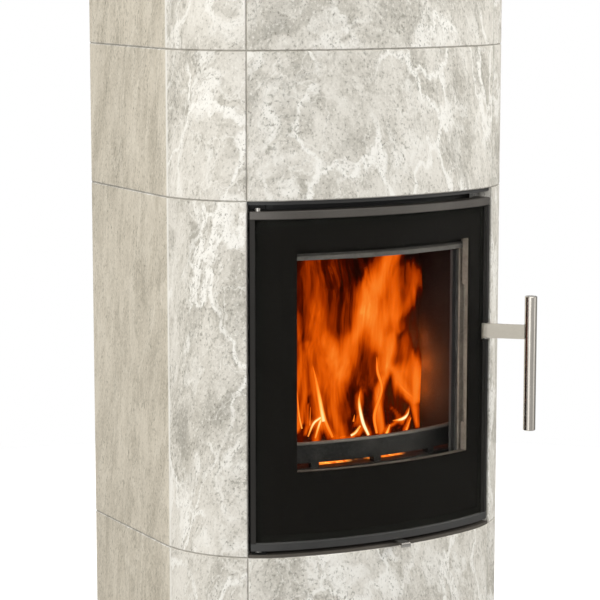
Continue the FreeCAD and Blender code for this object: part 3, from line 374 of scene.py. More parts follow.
class StoneMarbling(SharedEffect):
    """Soapstone with its beds square to Y: clouds, lumps and streaks in the beds, pale veins and flecks."""

    name = "stone_marbling"
    takes = {"Veining": 1.0, "Clouds": 1.0, "Depth": 0.5}
    gives = {"Color": "Color", "Roughness": "Float", "Height": "Float"}

    def wire(self, graph: Graph, given: Mapping[str, Socket]) -> dict[str, Socket]:
        """Lay clouds, lumps, beds, veins and flecks over one another.

        Args:
            graph: The group's graph.
            given: Its inputs by label.

        Returns:
            Its outputs by label.
        """
        place = given["Place"]
        flat = graph.mapped(place, scale=(1.0, 3.4, 0.8))
        bent = graph.shift(flat, graph.centred(flat, 5.0, 3.0, 0.17))
        curled = graph.shift(bent, graph.centred(flat, 26.0, 4.0, 0.055))
        tone = graph.choose(given["Clouds"], 0.52, self.tone(graph, curled))
        body = graph.ramp(tone, ((0.38, (0.40, 0.380, 0.332)), (0.46, (0.545, 0.520, 0.462)),
                                 (0.53, (0.660, 0.633, 0.572)), (0.64, (0.750, 0.724, 0.662))))
        bedded = self.beds(graph, place, body)
        pale = self.pale(graph, bent, curled)
        pale = graph.times(pale, given["Veining"], clamp=True)
        veined = graph.mix(pale, bedded, (0.855, 0.840, 0.790))
        grain = graph.noise(graph.mapped(place, scale=(1.0, 2.2, 0.75)), 300.0, 2.0, 0.6)
        fleck = graph.times(graph.step(grain, 0.55, 0.72), graph.step(tone, 0.42, 0.62, 0.8, 0.3))
        flecked = graph.mix(fleck, veined, (0.215, 0.205, 0.175))
        flecked = graph.mix(self.clusters(graph, place, bent), flecked, (0.30, 0.288, 0.245))
        glint = graph.times(graph.step(grain, 0.44, 0.28), 0.55)
        hue = graph.mix(glint, flecked, (0.85, 0.832, 0.782))
        rough = graph.step(grain, 0.3, 0.7, 0.50, 0.68)
        height = graph.minus(graph.times(pale, 0.4), fleck)
        height = graph.times(height, given["Depth"])
        return {"Color": hue, "Roughness": rough, "Height": height}

    def tone(self, graph: Graph, curled: Socket) -> Socket:
        """Mix clouds, lumps and mottling into one tone around a half.

        Args:
            graph: The group's graph.
            curled: Place, bent and curled.

        Returns:
            The tone.
        """
        cloud = graph.times(graph.noise(curled, 8.5, 4.0, 0.6), 0.46)
        lump = graph.times(graph.lumps(curled, 24.0), 0.16)
        mottle = graph.times(graph.noise(curled, 75.0, 4.0, 0.7), 0.38)
        return graph.plus(graph.plus(cloud, lump), mottle)

    def beds(self, graph: Graph, place: Socket, body: Socket) -> Socket:
        """Draw the thin beds that show as upright streaks where they are cut across.

        Args:
            graph: The group's graph.
            place: Place in the block.
            body: Colour to draw on.

        Returns:
            The streaked colour.
        """
        wavy = graph.shift(place, graph.centred(place, 6.0, 2.0, 0.012))
        broad = graph.noise(graph.mapped(wavy, scale=(2.0, 62.0, 1.5)), 1.0, 3.0, 0.6)
        fine = graph.noise(graph.mapped(wavy, scale=(5.0, 240.0, 4.0)), 1.0, 2.0, 0.6)
        streak = graph.plus(graph.times(broad, 0.6), graph.times(fine, 0.4))
        light = graph.times(graph.step(streak, 0.52, 0.66), 0.50)
        dark = graph.times(graph.step(streak, 0.48, 0.36), 0.34)
        return graph.mix(dark, graph.mix(light, body, (0.77, 0.745, 0.685)), (0.50, 0.472, 0.408))

    def pale(self, graph: Graph, bent: Socket, curled: Socket) -> Socket:
        """Mask of pale veins with soft frayed edges, a few thin ones, and pale blots.

        Args:
            graph: The group's graph.
            bent: Place, bent.
            curled: Place, bent and curled.

        Returns:
            The mask.
        """
        broken = graph.step(graph.noise(bent, 5.5, 3.0), 0.42, 0.54)
        fray = graph.step(graph.noise(curled, 85.0, 3.0, 0.7), 0.28, 0.52)
        gap = graph.times(graph.cracks(curled, 8.0), graph.noise(bent, 10.0, 3.0))
        vein = graph.times(graph.step(gap, 0.007, 0.027, 1.0, 0.0), broken)
        thin = graph.times(graph.step(graph.cracks(curled, 17.0), 0.0, 0.034, 0.50, 0.0), broken)
        blot = graph.step(graph.noise(curled, 12.0, 5.0, 0.62), 0.52, 0.66, 0.0, 0.85)
        soft = graph.times(graph.math("MAXIMUM", vein, blot), fray)
        return graph.math("MAXIMUM", soft, thin)

    def clusters(self, graph: Graph, place: Socket, bent: Socket) -> Socket:
        """Mask of coarse dark grains that lie in clusters.

        Args:
            graph: The group's graph.
            place: Place in the block.
            bent: Place, bent.

        Returns:
            The mask.
        """
        swarm = graph.step(graph.noise(bent, 15.0, 3.0), 0.50, 0.64)
        grain = graph.noise(graph.mapped(place, scale=(1.0, 1.8, 0.8)), 190.0, 2.0, 0.5)
        return graph.times(graph.times(swarm, graph.step(grain, 0.56, 0.68)), 0.8)


class FineGrain(SharedEffect):
    """Small even grain of paint, castings and pressed boards, with a slower drift of tone."""

    name = "fine_grain"
    takes = {"Scale": 400.0, "Drift": 9.0}
    gives = {"Tone": "Float", "Height": "Float"}

    def wire(self, graph: Graph, given: Mapping[str, Socket]) -> dict[str, Socket]:
        """Lay fine grain over slow drift.

        Args:
            graph: The group's graph.
            given: Its inputs by label.

        Returns:
            Its outputs by label.
        """
        place = given["Place"]
        grain = graph.noise(place, given["Scale"], 3.0, 0.6)
        drift = graph.noise(place, given["Drift"], 4.0, 0.6, 0.5)
        tone = graph.plus(graph.times(grain, 0.45), graph.times(drift, 0.55))
        return {"Tone": tone, "Height": grain}


class BrushMarks(SharedEffect):
    """Long fine scratches of brushed steel; the caller stretches the place along the brushing."""

    name = "brush_marks"
    gives = {"Tone": "Float", "Height": "Float"}

    def wire(self, graph: Graph, given: Mapping[str, Socket]) -> dict[str, Socket]:
        """Lay fine marks over broader bands.

        Args:
            graph: The group's graph.
            given: Its inputs by label.

        Returns:
            Its outputs by label.
        """
        fine = graph.noise(given["Place"], 900.0, 4.0, 0.7)
        broad = graph.noise(given["Place"], 130.0, 3.0, 0.6)
        tone = graph.plus(graph.times(fine, 0.6), graph.times(broad, 0.4))
        return {"Tone": tone, "Height": fine}


class SootFilm(SharedEffect):
    """Soot that clings in patches and thins out downwards where the fire burns clean."""

    name = "soot_film"
    takes = {"Clean Height": 0.5, "Black Height": 0.75}
    gives = {"Mask": "Float"}

    def wire(self, graph: Graph, given: Mapping[str, Socket]) -> dict[str, Socket]:
        """Fade between the two heights, broken up by noise.

        Args:
            graph: The group's graph.
            given: Its inputs by label.

        Returns:
            Its outputs by label.
        """
        height = graph.apart(given["Place"])[2]
        smear = graph.times(graph.noise(given["Place"], 16.0, 5.0, 0.65), 0.30)
        level = graph.plus(height, graph.minus(smear, 0.15))
        rise = graph.minus(given["Black Height"], given["Clean Height"])
        above = graph.minus(level, given["Clean Height"])
        return {"Mask": graph.math("DIVIDE", above, rise, clamp=True)}


class FlameField(SharedEffect):
    """Fire by its heat: streaked upwards, dark red over orange to yellow white, clear where it is cold."""

    name = "flame_field"
    takes = {"Heat": 0.5, "Streaks": 0.3}
    gives = {"Color": "Color", "Alpha": "Float"}

    def wire(self, graph: Graph, given: Mapping[str, Socket]) -> dict[str, Socket]:
        """Sway upright streaks, let them warm and cool the fire and colour it by heat.

        Args:
            graph: The group's graph.
            given: Its inputs by label.

        Returns:
            Its outputs by label.
        """
        place = given["Place"]
        sway = graph.shift(place, graph.centred(graph.mapped(place, scale=(9.0, 9.0, 6.0)), 1.0, 1.0, 0.06))
        bent = graph.shift(sway, graph.centred(graph.mapped(sway, scale=(30.0, 30.0, 12.0)), 1.0, 1.0, 0.018))
        lick = graph.noise(graph.mapped(bent, scale=(70.0, 70.0, 9.0)), 1.0, 3.0, 0.6)
        thread = graph.noise(graph.mapped(bent, scale=(210.0, 210.0, 15.0)), 1.0, 2.0, 0.6)
        lick = graph.choose(0.24, lick, thread)
        streak = graph.times(graph.minus(lick, 0.5), given["Streaks"])
        heat = graph.plus(given["Heat"], streak)
        hue = graph.ramp(graph.math("DIVIDE", heat, 1.5), (
            (0.05, (0.004, 0.0, 0.0)), (0.19, (0.10, 0.006, 0.0)), (0.31, (0.38, 0.034, 0.0)),
            (0.43, (0.74, 0.092, 0.001)), (0.55, (0.94, 0.155, 0.006)), (0.67, (1.0, 0.235, 0.022)),
            (0.78, (1.0, 0.46, 0.08)), (0.93, (1.0, 0.90, 0.55))))
        return {"Color": hue, "Alpha": graph.step(heat, 0.05, 0.34)}


class EmberGlow(SharedEffect):
    """Charred crust with glowing cracks, hotter low down."""

    name = "ember_glow"
    takes = {"Scale": 60.0, "Hot Height": 0.47, "Cold Height": 0.56}
    gives = {"Color": "Color", "Crust": "Float"}

    def wire(self, graph: Graph, given: Mapping[str, Socket]) -> dict[str, Socket]:
        """Colour cracks by heat and fade them with height.

        Args:
            graph: The group's graph.
            given: Its inputs by label.

        Returns:
            Its outputs by label.
        """
        place = given["Place"]
        drop = graph.minus(given["Cold Height"], graph.apart(place)[2])
        span = graph.minus(given["Cold Height"], given["Hot Height"])
        warm = graph.math("DIVIDE", drop, span, clamp=True)
        crack = graph.noise(place, given["Scale"], 4.0, 0.6, 1.2)
        crust = graph.times(graph.minus(crack, 0.52), 1.2)
        heat = graph.plus(graph.times(warm, 0.66), crust)
        hue = graph.ramp(heat, (
            (0.10, (0.0, 0.0, 0.0)), (0.28, (0.25, 0.012, 0.0)), (0.45, (0.9, 0.11, 0.004)),
            (0.62, (1.0, 0.33, 0.03)), (0.85, (1.0, 0.75, 0.30))))
        return {"Color": hue, "Crust": crack}


SHELL = ShellDepth()
MARBLING = StoneMarbling()
GRAIN = FineGrain()
BRUSHING = BrushMarks()
SOOT = SootFilm()
FLAMES = FlameField()
EMBERS = EmberGlow()


@dataclass(frozen=True)
class Finish:
    """What every finish shares: a name, and a material with one surface shader."""

    name: str

    def material(self) -> bpy.types.Material:
        """Make a material with one surface shader and lay the finish's nodes in it.

        Returns:
            The new material.
        """
        made = bpy.data.materials.new(self.name)
        made.use_nodes = True
        made.node_tree.nodes.clear()
        graph = Graph(made.node_tree)
        shader = graph.node("BsdfPrincipled")
        graph.node("OutputMaterial", {"Surface": shader.outputs[0]})
        self.lay(graph, shader, graph.node("TexCoord").outputs["Object"])
        return made

    def raise_surface(self, graph: Graph, shader: bpy.types.Node, height: Socket, strength: float,
                      distance: float) -> None:
        """Let a height field bend the shader's normal."""
        bump = graph.node("Bump", {"Strength": strength, "Distance": distance, "Height": height})
        graph.feed(shader.inputs["Normal"], bump.outputs["Normal"])

    def lay(self, graph: Graph, shader: bpy.types.Node, place: Socket) -> None:
        """Lay the finish's nodes up to the shader; place holds the piece's own coordinates."""
        raise NotImplementedError


@dataclass(frozen=True)
class Soapstone(Finish):
    """Honed soapstone, saw-cut on the flat sides and darker and warmer there, partly painted shade; each slab
    has its own place in the block.
    """

    block_place: Point = (0.0, 0.0, 0.0)
    bed_turn: float = 0.0
    joint_shade: float = 0.6
    bed_slant: float = -0.14
    veining: float = 1.0
    # Tint of the flat sides: partly their saw-cut finish, partly painted shade of the side that gets less
    # light.
    saw_cut_and_shade: Colour = (0.93, 0.892, 0.822)
    # Colour of the painted shade in the grooves of the eased joints.
    joint_groove_shade: Colour = (0.20, 0.185, 0.155)
    # Colour of the painted highlight along the edge where the flat side ends.
    arris_highlight: Colour = (0.84, 0.825, 0.775)

    def lay(self, graph: Graph, shader: bpy.types.Node, place: Socket) -> None:
        """Place the marbling at this slab's spot in the block and paint shade into its eased joints.

        Args:
            graph: The material's graph.
            shader: Its surface shader.
            place: Coordinates of the piece itself.
        """
        spot = graph.mapped(place, self.block_place, (self.bed_slant, 0.0, self.bed_turn))
        shell = SHELL.use(graph, Place=place)
        rise = graph.apart(graph.node("NewGeometry").outputs["Normal"])[2]
        upright = graph.step(graph.math("ABSOLUTE", rise), 0.35, 0.65, 1.0, 0.0)
        side = graph.times(shell.outputs["Side"], upright)
        veining = graph.step(side, 0.0, 1.0, self.veining, 0.3 * self.veining)
        clouds = graph.step(side, 0.0, 1.0, 1.0, 0.62)
        stone = MARBLING.use(graph, Place=spot, Veining=veining, Clouds=clouds, Depth=0.5)
        # Flat sides are tinted darker and warmer: partly the saw-cut finish, partly painted shade.
        warm = graph.mix(1.0, stone.outputs["Color"], self.saw_cut_and_shade, "MULTIPLY")
        cut = graph.mix(side, stone.outputs["Color"], warm)
        # Painted highlight: a pale line on upright faces where the flat side ends.
        arris_highlight = graph.times(graph.times(shell.outputs["Arris Highlight"], upright), 0.8)
        edged = graph.mix(arris_highlight, cut, self.arris_highlight)
        depth = shell.outputs["Depth"]
        # Painted shade: darker deep in the grooves between eased edges, where shade falls.
        groove_shade_mask = graph.times(graph.step(depth, 0.0005, 0.0014), graph.step(depth, 0.0026, 0.0021))
        shaded = graph.mix(graph.times(groove_shade_mask, self.joint_shade), edged, self.joint_groove_shade)
        graph.supply(shader, {"Base Color": shaded, "Roughness": stone.outputs["Roughness"]})
        self.raise_surface(graph, shader, stone.outputs["Height"], 0.35, 0.0006)


@dataclass(frozen=True)
class StovePaint(Finish):
    """Matt heat-proof paint on sheet steel."""

    dark: Colour = (0.010, 0.010, 0.010)
    light: Colour = (0.022, 0.021, 0.020)
    roughness: tuple[float, float] = (0.42, 0.60)
    metallic: float = 0.0
    gloss: float = 0.5
    grain: float = 700.0

    def lay(self, graph: Graph, shader: bpy.types.Node, place: Socket) -> None:
        """Vary tone and roughness with the paint's grain.

        Args:
            graph: The material's graph.
            shader: Its surface shader.
            place: Coordinates of the piece itself.
        """
        coat = GRAIN.use(graph, Place=place, Scale=self.grain, Drift=7.0)
        tone = coat.outputs["Tone"]
        graph.supply(shader, {
            "Base Color": graph.ramp(tone, ((0.35, self.dark), (0.65, self.light))),
            "Roughness": graph.step(tone, 0.3, 0.7, *self.roughness), "Metallic": self.metallic,
            "Specular IOR Level": self.gloss})
        self.raise_surface(graph, shader, coat.outputs["Height"], 0.25, 0.0003)


@dataclass(frozen=True)
class FramePaint(Finish):
    """Door steel behind the glass: grey with wear between two depths behind the bowed face, with painted
    shade on faces that point up, else black.
    """

    grey_from: float = 0.0092
    grey_to: float = 1.0
    fade: float = 0.0006
    black: Colour = (0.0040, 0.0036, 0.0029)
    grey: Colour = (0.110, 0.096, 0.080)
    wear_and_highlight: Colour = (0.236, 0.209, 0.172)

    def lay(self, graph: Graph, shader: bpy.types.Node, place: Socket) -> None:
        """Part the two tones by the depth behind the bowed face, and paint shade on faces that point up.

        Args:
            graph: The material's graph.
            shader: Its surface shader.
            place: Coordinates of the piece itself.
        """
        coat = GRAIN.use(graph, Place=place, Scale=420.0, Drift=30.0)
        tone = coat.outputs["Tone"]
        depth = SHELL.use(graph, Place=place).outputs["Depth"]
        begun = graph.step(depth, self.grey_from, self.grey_from + self.fade)
        ended = graph.step(depth, self.grey_to + self.fade, self.grey_to)
        grey = graph.ramp(tone, ((0.36, self.grey), (0.66, self.wear_and_highlight)))
        # Painted shade: the grey is darker on faces that point up.
        upward = graph.apart(graph.node("NewGeometry").outputs["Normal"])[2]
        inside = graph.times(graph.times(begun, ended), graph.step(upward, 0.3, 0.9, 1.0, 0.45))
        graph.supply(shader, {"Base Color": graph.mix(inside, self.black, grey), "Specular IOR Level": 0.04,
                              "Roughness": graph.step(tone, 0.3, 0.7, 0.55, 0.70)})
        self.raise_surface(graph, shader, coat.outputs["Height"], 0.1, 0.0002)


class BrushWay(Enum):
    """Direction that a steel piece was brushed in, as stretch of its texture space."""

    UPRIGHT = (1.0, 1.0, 0.02)
    ACROSS = (0.02, 1.0, 1.0)
    TURNED = (0.6, 0.6, 0.6)


@dataclass(frozen=True)
class BrushedSteel(Finish):
    """Bare stainless steel with brush marks."""

    way: BrushWay = BrushWay.UPRIGHT
    dark: Colour = (0.36, 0.34, 0.31)
    light: Colour = (0.62, 0.60, 0.56)
    roughness: tuple[float, float] = (0.24, 0.40)

    def lay(self, graph: Graph, shader: bpy.types.Node, place: Socket) -> None:
        """Vary tone and roughness with the brush marks.

        Args:
            graph: The material's graph.
            shader: Its surface shader.
            place: Coordinates of the piece itself.
        """
        marks = BRUSHING.use(graph, Place=graph.mapped(place, scale=self.way.value))
        tone = marks.outputs["Tone"]
        graph.supply(shader, {
            "Base Color": graph.ramp(tone, ((0.3, self.dark), (0.7, self.light))),
            "Roughness": graph.step(tone, 0.3, 0.7, *self.roughness), "Metallic": 1.0})
        self.raise_surface(graph, shader, marks.outputs["Height"], 0.12, 0.0002)


@dataclass(frozen=True)
class CastIron(Finish):
    """Raw casting with sand grain and a film of soot."""

    dark: Colour = (0.004, 0.004, 0.0035)
    light: Colour = (0.024, 0.023, 0.021)
    # Colour of the painted highlight above the given height, along the top edge of the log guard.
    wear_and_highlight: Colour = (0.105, 0.096, 0.083)
    highlight_height: float = 9.0
    roughness: tuple[float, float] = (0.42, 0.66)

    def lay(self, graph: Graph, shader: bpy.types.Node, place: Socket) -> None:
        """Lay sand grain under a broken film of soot, paler above a height as a painted highlight.

        Args:
            graph: The material's graph.
            shader: Its surface shader.
            place: Coordinates of the piece itself.
        """
        sand = GRAIN.use(graph, Place=place, Scale=330.0, Drift=24.0)
        tone = sand.outputs["Tone"]
        # Painted highlight: paler above the given height, along the log guard's top edge.
        painted_highlight = graph.step(graph.apart(place)[2], self.highlight_height, self.highlight_height + 0.0025)
        iron = graph.ramp(tone, ((0.38, self.dark), (0.64, self.light)))
        graph.supply(shader, {
            "Base Color": graph.mix(painted_highlight, iron, self.wear_and_highlight), "Specular IOR Level": 0.2, "Metallic": 0.3,
            "Roughness": graph.step(tone, 0.3, 0.7, *self.roughness)})
        self.raise_surface(graph, shader, sand.outputs["Height"], 0.5, 0.0008)


@dataclass(frozen=True)
class Firebrick(Finish):
    """Pressed dark firebrick board, burnt clean low down and sooty above."""

    clay: Colour = (0.024, 0.0145, 0.010)
    pale: Colour = (0.052, 0.038, 0.028)
    soot: Colour = (0.017, 0.006, 0.0045)

    def lay(self, graph: Graph, shader: bpy.types.Node, place: Socket) -> None:
        """Fade soot over the grain of the board.

        Args:
            graph: The material's graph.
            shader: Its surface shader.
            place: Coordinates of the piece itself.
        """
        board = GRAIN.use(graph, Place=place, Scale=240.0, Drift=18.0)
        film = SOOT.use(graph, Place=place, Clean_Height=0.52, Black_Height=0.80)
        brick = graph.ramp(board.outputs["Tone"], ((0.35, self.clay), (0.66, self.pale)))
        graph.supply(shader, {
            "Base Color": graph.mix(film.outputs["Mask"], brick, self.soot), "Specular IOR Level": 0.1,
            "Roughness": graph.step(board.outputs["Tone"], 0.3, 0.7, 0.78, 0.95)})
        self.raise_surface(graph, shader, board.outputs["Height"], 0.6, 0.0010)


@dataclass(frozen=True)
class DoorGlass(Finish):
    """Clear ceramic glass with a faint uneven haze."""

    tint: Colour = (0.93, 0.93, 0.91)

    def lay(self, graph: Graph, shader: bpy.types.Node, place: Socket) -> None:
        """Let light through, with a slight change of tint and roughness over the pane.

        Args:
            graph: The material's graph.
            shader: Its surface shader.
            place: Coordinates of the piece itself.
        """
        haze = GRAIN.use(graph, Place=place, Scale=60.0, Drift=5.0).outputs["Tone"]
        graph.supply(shader, {
            "Base Color": graph.ramp(haze, ((0.3, self.tint), (0.7, (0.97, 0.97, 0.96)))),
            "Roughness": graph.step(haze, 0.35, 0.75, 0.0, 0.03), "Transmission Weight": 1.0, "IOR": 1.04})


@dataclass(frozen=True)
class SealRope(Finish):
    """Woven glass-fibre rope or tape."""

    dark: Colour = (0.012, 0.012, 0.012)
    light: Colour = (0.055, 0.053, 0.050)
    gloss: float = 0.3

    def lay(self, graph: Graph, shader: bpy.types.Node, place: Socket) -> None:
        """Weave fine threads over the rope.

        Args:
            graph: The material's graph.
            shader: Its surface shader.
            place: Coordinates of the piece itself.
        """
        weave = GRAIN.use(graph, Place=place, Scale=900.0, Drift=60.0)
        tone = weave.outputs["Tone"]
        graph.supply(shader, {
            "Base Color": graph.ramp(tone, ((0.35, self.dark), (0.65, self.light))),
            "Roughness": graph.step(tone, 0.3, 0.7, 0.75, 0.95), "Specular IOR Level": self.gloss})
        self.raise_surface(graph, shader, weave.outputs["Height"], 0.8, 0.0006)


@dataclass(frozen=True)
class Flame(Finish):
    """Fire on a sheet or on ribbons that carry their heat and their nearness to an edge at each point."""

    streaks: float = 0.4
    strength: float = 1.0

    def lay(self, graph: Graph, shader: bpy.types.Node, place: Socket) -> None:
        """Let the flame field set glow and opacity, cooler and fainter towards an edge.

        Args:
            graph: The material's graph.
            shader: Its surface shader.
            place: Coordinates of the piece itself.
        """
        edge = graph.node("Attribute", attribute_name="margin").outputs["Fac"]
        drawn = graph.node("Attribute", attribute_name="burn").outputs["Fac"]
        heat = graph.minus(drawn, graph.times(graph.math("POWER", edge, 2.0), 0.60))
        fire = FLAMES.use(graph, Place=place, Heat=heat, Streaks=self.streaks)
        faint = graph.times(fire.outputs["Alpha"], graph.step(edge, 0.35, 1.0, 1.0, 0.0))
        graph.supply(shader, {
            "Emission Color": fire.outputs["Color"], "Emission Strength": self.strength, "Alpha": faint,
            "Base Color": (0.0, 0.0, 0.0), "Roughness": 1.0, "Specular IOR Level": 0.0})


@dataclass(frozen=True)
class Charred(Finish):
    """Burning wood or embers: black crust over glowing cracks."""

    scale: float = 70.0
    hot_height: float = 0.47
    cold_height: float = 0.56
    strength: float = 2.2
    patched: bool = False

    def lay(self, graph: Graph, shader: bpy.types.Node, place: Socket) -> None:
        """Glow in the cracks of a dark crust, only in patches if the mesh marks them.

        Args:
            graph: The material's graph.
            shader: Its surface shader.
            place: Coordinates of the piece itself.
        """
        crust = EMBERS.use(graph, Place=place, Scale=self.scale, Hot_Height=self.hot_height,
                           Cold_Height=self.cold_height)
        tone = crust.outputs["Crust"]
        glow = crust.outputs["Color"]
        if self.patched:
            patch = graph.node("Attribute", attribute_name="burn").outputs["Fac"]
            glow = graph.mix(patch, (0.004, 0.0, 0.0), glow)
        graph.supply(shader, {
            "Base Color": graph.ramp(tone, ((0.35, (0.008, 0.006, 0.005)), (0.7, (0.060, 0.042, 0.030)))),
            "Roughness": graph.step(tone, 0.3, 0.7, 0.8, 0.98), "Emission Color": glow,
            "Emission Strength": self.strength})
        self.raise_surface(graph, shader, tone, 0.9, 0.004)


@dataclass(frozen=True)
class StudioFloor(Finish):
    """Pale matt floor."""

    def lay(self, graph: Graph, shader: bpy.types.Node, place: Socket) -> None:
        """Vary the pale tone a little.

        Args:
            graph: The material's graph.
            shader: Its surface shader.
            place: Coordinates of the piece itself.
        """
        tone = GRAIN.use(graph, Place=place, Scale=40.0, Drift=2.0).outputs["Tone"]
        graph.supply(shader, {
            "Base Color": graph.ramp(tone, ((0.3, (0.86, 0.86, 0.85)), (0.7, (0.90, 0.90, 0.89)))),
            "Roughness": graph.step(tone, 0.3, 0.7, 0.65, 0.75), "Emission Color": (1.0, 1.0, 1.0),
            "Emission Strength": 0.22})


def stand(name: str, data: bpy.types.ID) -> bpy.types.Object:
    """Put a mesh, light or camera into the scene as an object.

    Args:
        name: Name of the object.
        data: Mesh, light or camera.

    Returns:
        The new object.
    """
    made = bpy.data.objects.new(name, data)
    bpy.context.scene.collection.objects.link(made)
    return made


def stand_mesh(mesh: bmesh.types.BMesh, name: str, finish: Finish, smooth: bool) -> bpy.types.Object:
    """Put a finished mesh into the scene.

    Args:
        mesh: Mesh in the row frame, freed here.
        name: Name of the object.
        finish: Its finish.
        smooth: Shade its faces smooth.

    Returns:
        The new object.
    """
    data = bpy.data.meshes.new(name)
    mesh.normal_update()
    mesh.to_mesh(data)
    mesh.free()
    for face in data.polygons:
        face.use_smooth = smooth
    data.materials.append(finish.material())
    return stand(name, data)


def aim(thing: bpy.types.Object, place: Sequence[float], way: Vector) -> None:
    """Move a light or camera to a place and turn it along a direction.

    Args:
        thing: Light or camera.
        place: Where it stands.
        way: Direction that it faces.
    """
    thing.location = place
    thing.rotation_mode = "QUATERNION"
    thing.rotation_quaternion = way.to_track_quat("-Z", "Y")


def join_rows(made: bmesh.types.BMesh, rows: Sequence[Row], closed: bool = False) -> None:
    """Lay quads between each row of points and the next.

    Args:
        made: Mesh that holds the points.
        rows: Rows with the same number of points.
        closed: Also join each row's last point to its first.
    """
    for low, high in zip(rows, rows[1:]):
        for here in range(len(low) if closed else len(low) - 1):
            after = (here + 1) % len(low)
            made.faces.new((low[here], low[after], high[after], high[here]))


def lay_sheet(made: bmesh.types.BMesh, columns: int, rows: int, point: PointAt) -> None:
    """Add a grid of quads, its points found from two shares from 0 to 1, across and along."""
    join_rows(made, [[made.verts.new(point(column / columns, row / rows)) for column in range(columns + 1)]
                     for row in range(rows + 1)])


class Workshop:
    """Dresses CAD nodes and puts new meshes on their bodies."""

    def __init__(self, frame: dict) -> None:
        """Keep the loaded frame."""
        self.nodes: dict[str, bpy.types.Object] = frame["nodes"]

    def dress(self, finish: Finish, names: Iterable[str]) -> None:
        """Give CAD nodes one finish.

        Args:
            finish: The finish.
            names: Names of the nodes.
        """
        material = finish.material()
        for name in names:
            mesh = self.nodes[name].data
            mesh.materials.clear()
            mesh.materials.append(material)
            LOG.info("dressed %s in %s", name, finish.name)

    def place(self, mesh: bmesh.types.BMesh, name: str, body: str, finish: Finish) -> bpy.types.Object:
        """Turn a mesh into a piece that rides on a body.

        Args:
            mesh: Finished mesh in the row frame, freed here.
            name: Piece name.
            body: CAD body it moves with.
            finish: Its finish.

        Returns:
            The new object.
        """
        piece = stand_mesh(mesh, name, finish, True)
        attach(piece, body)
        LOG.info("placed %s on %s", name, body)
        return piece


@dataclass
class StoneShell:
    """Outer stones in courses, the slab on top and the store inside.

    Each outer slab has a place in the block, a turn of its beds and a strength of its veins.
    """

    slabs: dict[str, tuple[Point, float, float]] = field(default_factory=lambda: {
        "base_stone_left": ((0.31, 0.12, 0.77), 0.6, 1.0),
        "base_stone_right": ((1.63, 0.50, 0.20), -0.6, 1.0),
        "base_stone_front": ((2.21, 0.34, 1.90), 0.30, 1.0),
        "door_stone_left": ((0.93, 1.27, 0.41), 0.6, 1.0),
        "door_stone_right": ((1.17, 0.31, 1.67), 0.5, 2.0),
        "lintel_stone_left": ((1.42, 2.20, 1.15), 0.6, 1.0),
        "lintel_stone_right": ((2.77, 1.72, 0.09), -0.6, 1.0),
        "lintel_stone_front": ((0.57, 2.91, 2.33), 0.28, 1.0),
        "crown_stone_left": ((3.71, 0.23, 1.51), 0.6, 1.0),
        "crown_stone_right": ((0.19, 3.37, 2.83), -0.6, 1.0),
        "crown_stone_front": ((2.05, 2.47, 0.61), 0.24, 1.0)})
    lid_place: Point = (1.11, 1.93, 3.29)
    store_place: Point = (4.1, 0.7, 2.2)
    store: tuple[str, ...] = ("storage_block_rear", "storage_block_lower", "storage_block_upper")

    def build(self, shop: Workshop) -> None:
        """Dress every slab from its own place; the lid and the store have no shaded joints.

        Args:
            shop: Workshop that holds the nodes.
        """
        for name, (block_place, bed_turn, veining) in self.slabs.items():
            shop.dress(Soapstone("soapstone_" + name, block_place, bed_turn, veining=veining), [name])
        lid = Soapstone("soapstone_top_stone", self.lid_place, bed_turn=0.3, joint_shade=0.0)
        shop.dress(lid, ["top_stone"])
        shop.dress(Soapstone("sawn_soapstone", self.store_place, joint_shade=0.0, veining=0.4), self.store)


@dataclass
class Carcass:
    """Foot, steel firebox, hearth, flue, air path and back of the stove."""

    painted: tuple[str, ...] = (
        "base_plate", "firebox_top", "firebox_rear", "door_head", "frame_sill", "ash_box", "rear_panel",
        "rear_angles", "air_pedestal", "air_inlet_spigot", "flue_collar")
    shaded: tuple[str, ...] = ("hinge_bracket_upper", "hinge_bracket_lower", "latch_keeper")
    jambs: tuple[str, ...] = ("firebox_side_left", "firebox_side_right")
    cast: tuple[str, ...] = ("plinth", "hearth_plate", "grate")
    lining: tuple[str, ...] = ("lining_left", "lining_right", "lining_rear", "baffle_plate")
    plated: tuple[str, ...] = ("levelling_feet", "rear_panel_screws", "keeper_roller")

    def build(self, shop: Workshop) -> None:
        """Dress the carcass by material.

        Args:
            shop: Workshop that holds the nodes.
        """
        shop.dress(StovePaint("stove_paint"), self.painted)
        bracket = StovePaint("bracket_paint", (0.003, 0.003, 0.003), (0.007, 0.007, 0.006), gloss=0.1)
        shop.dress(bracket, self.shaded)
        floor = StovePaint("sill_paint", (0.060, 0.053, 0.045), (0.115, 0.102, 0.086), (0.5, 0.7), gloss=0.2)
        shop.dress(floor, ["firebox_floor"])
        shop.dress(StovePaint("jamb_paint", (0.020, 0.020, 0.020), (0.050, 0.048, 0.046)), self.jambs)
        shop.dress(CastIron("cast_iron"), self.cast)
        # The log guard has a painted highlight along its top edge.
        shop.dress(CastIron("guard_iron", highlight_height=0.4955), ["log_guard"])
        shop.dress(Firebrick("firebrick"), self.lining)
        shop.dress(BrushedSteel("plated_steel", BrushWay.TURNED), self.plated)
        zinced = BrushedSteel("zinced_pan", BrushWay.ACROSS, (0.20, 0.20, 0.20), (0.34, 0.34, 0.33))
        shop.dress(zinced, ["ash_pan"])


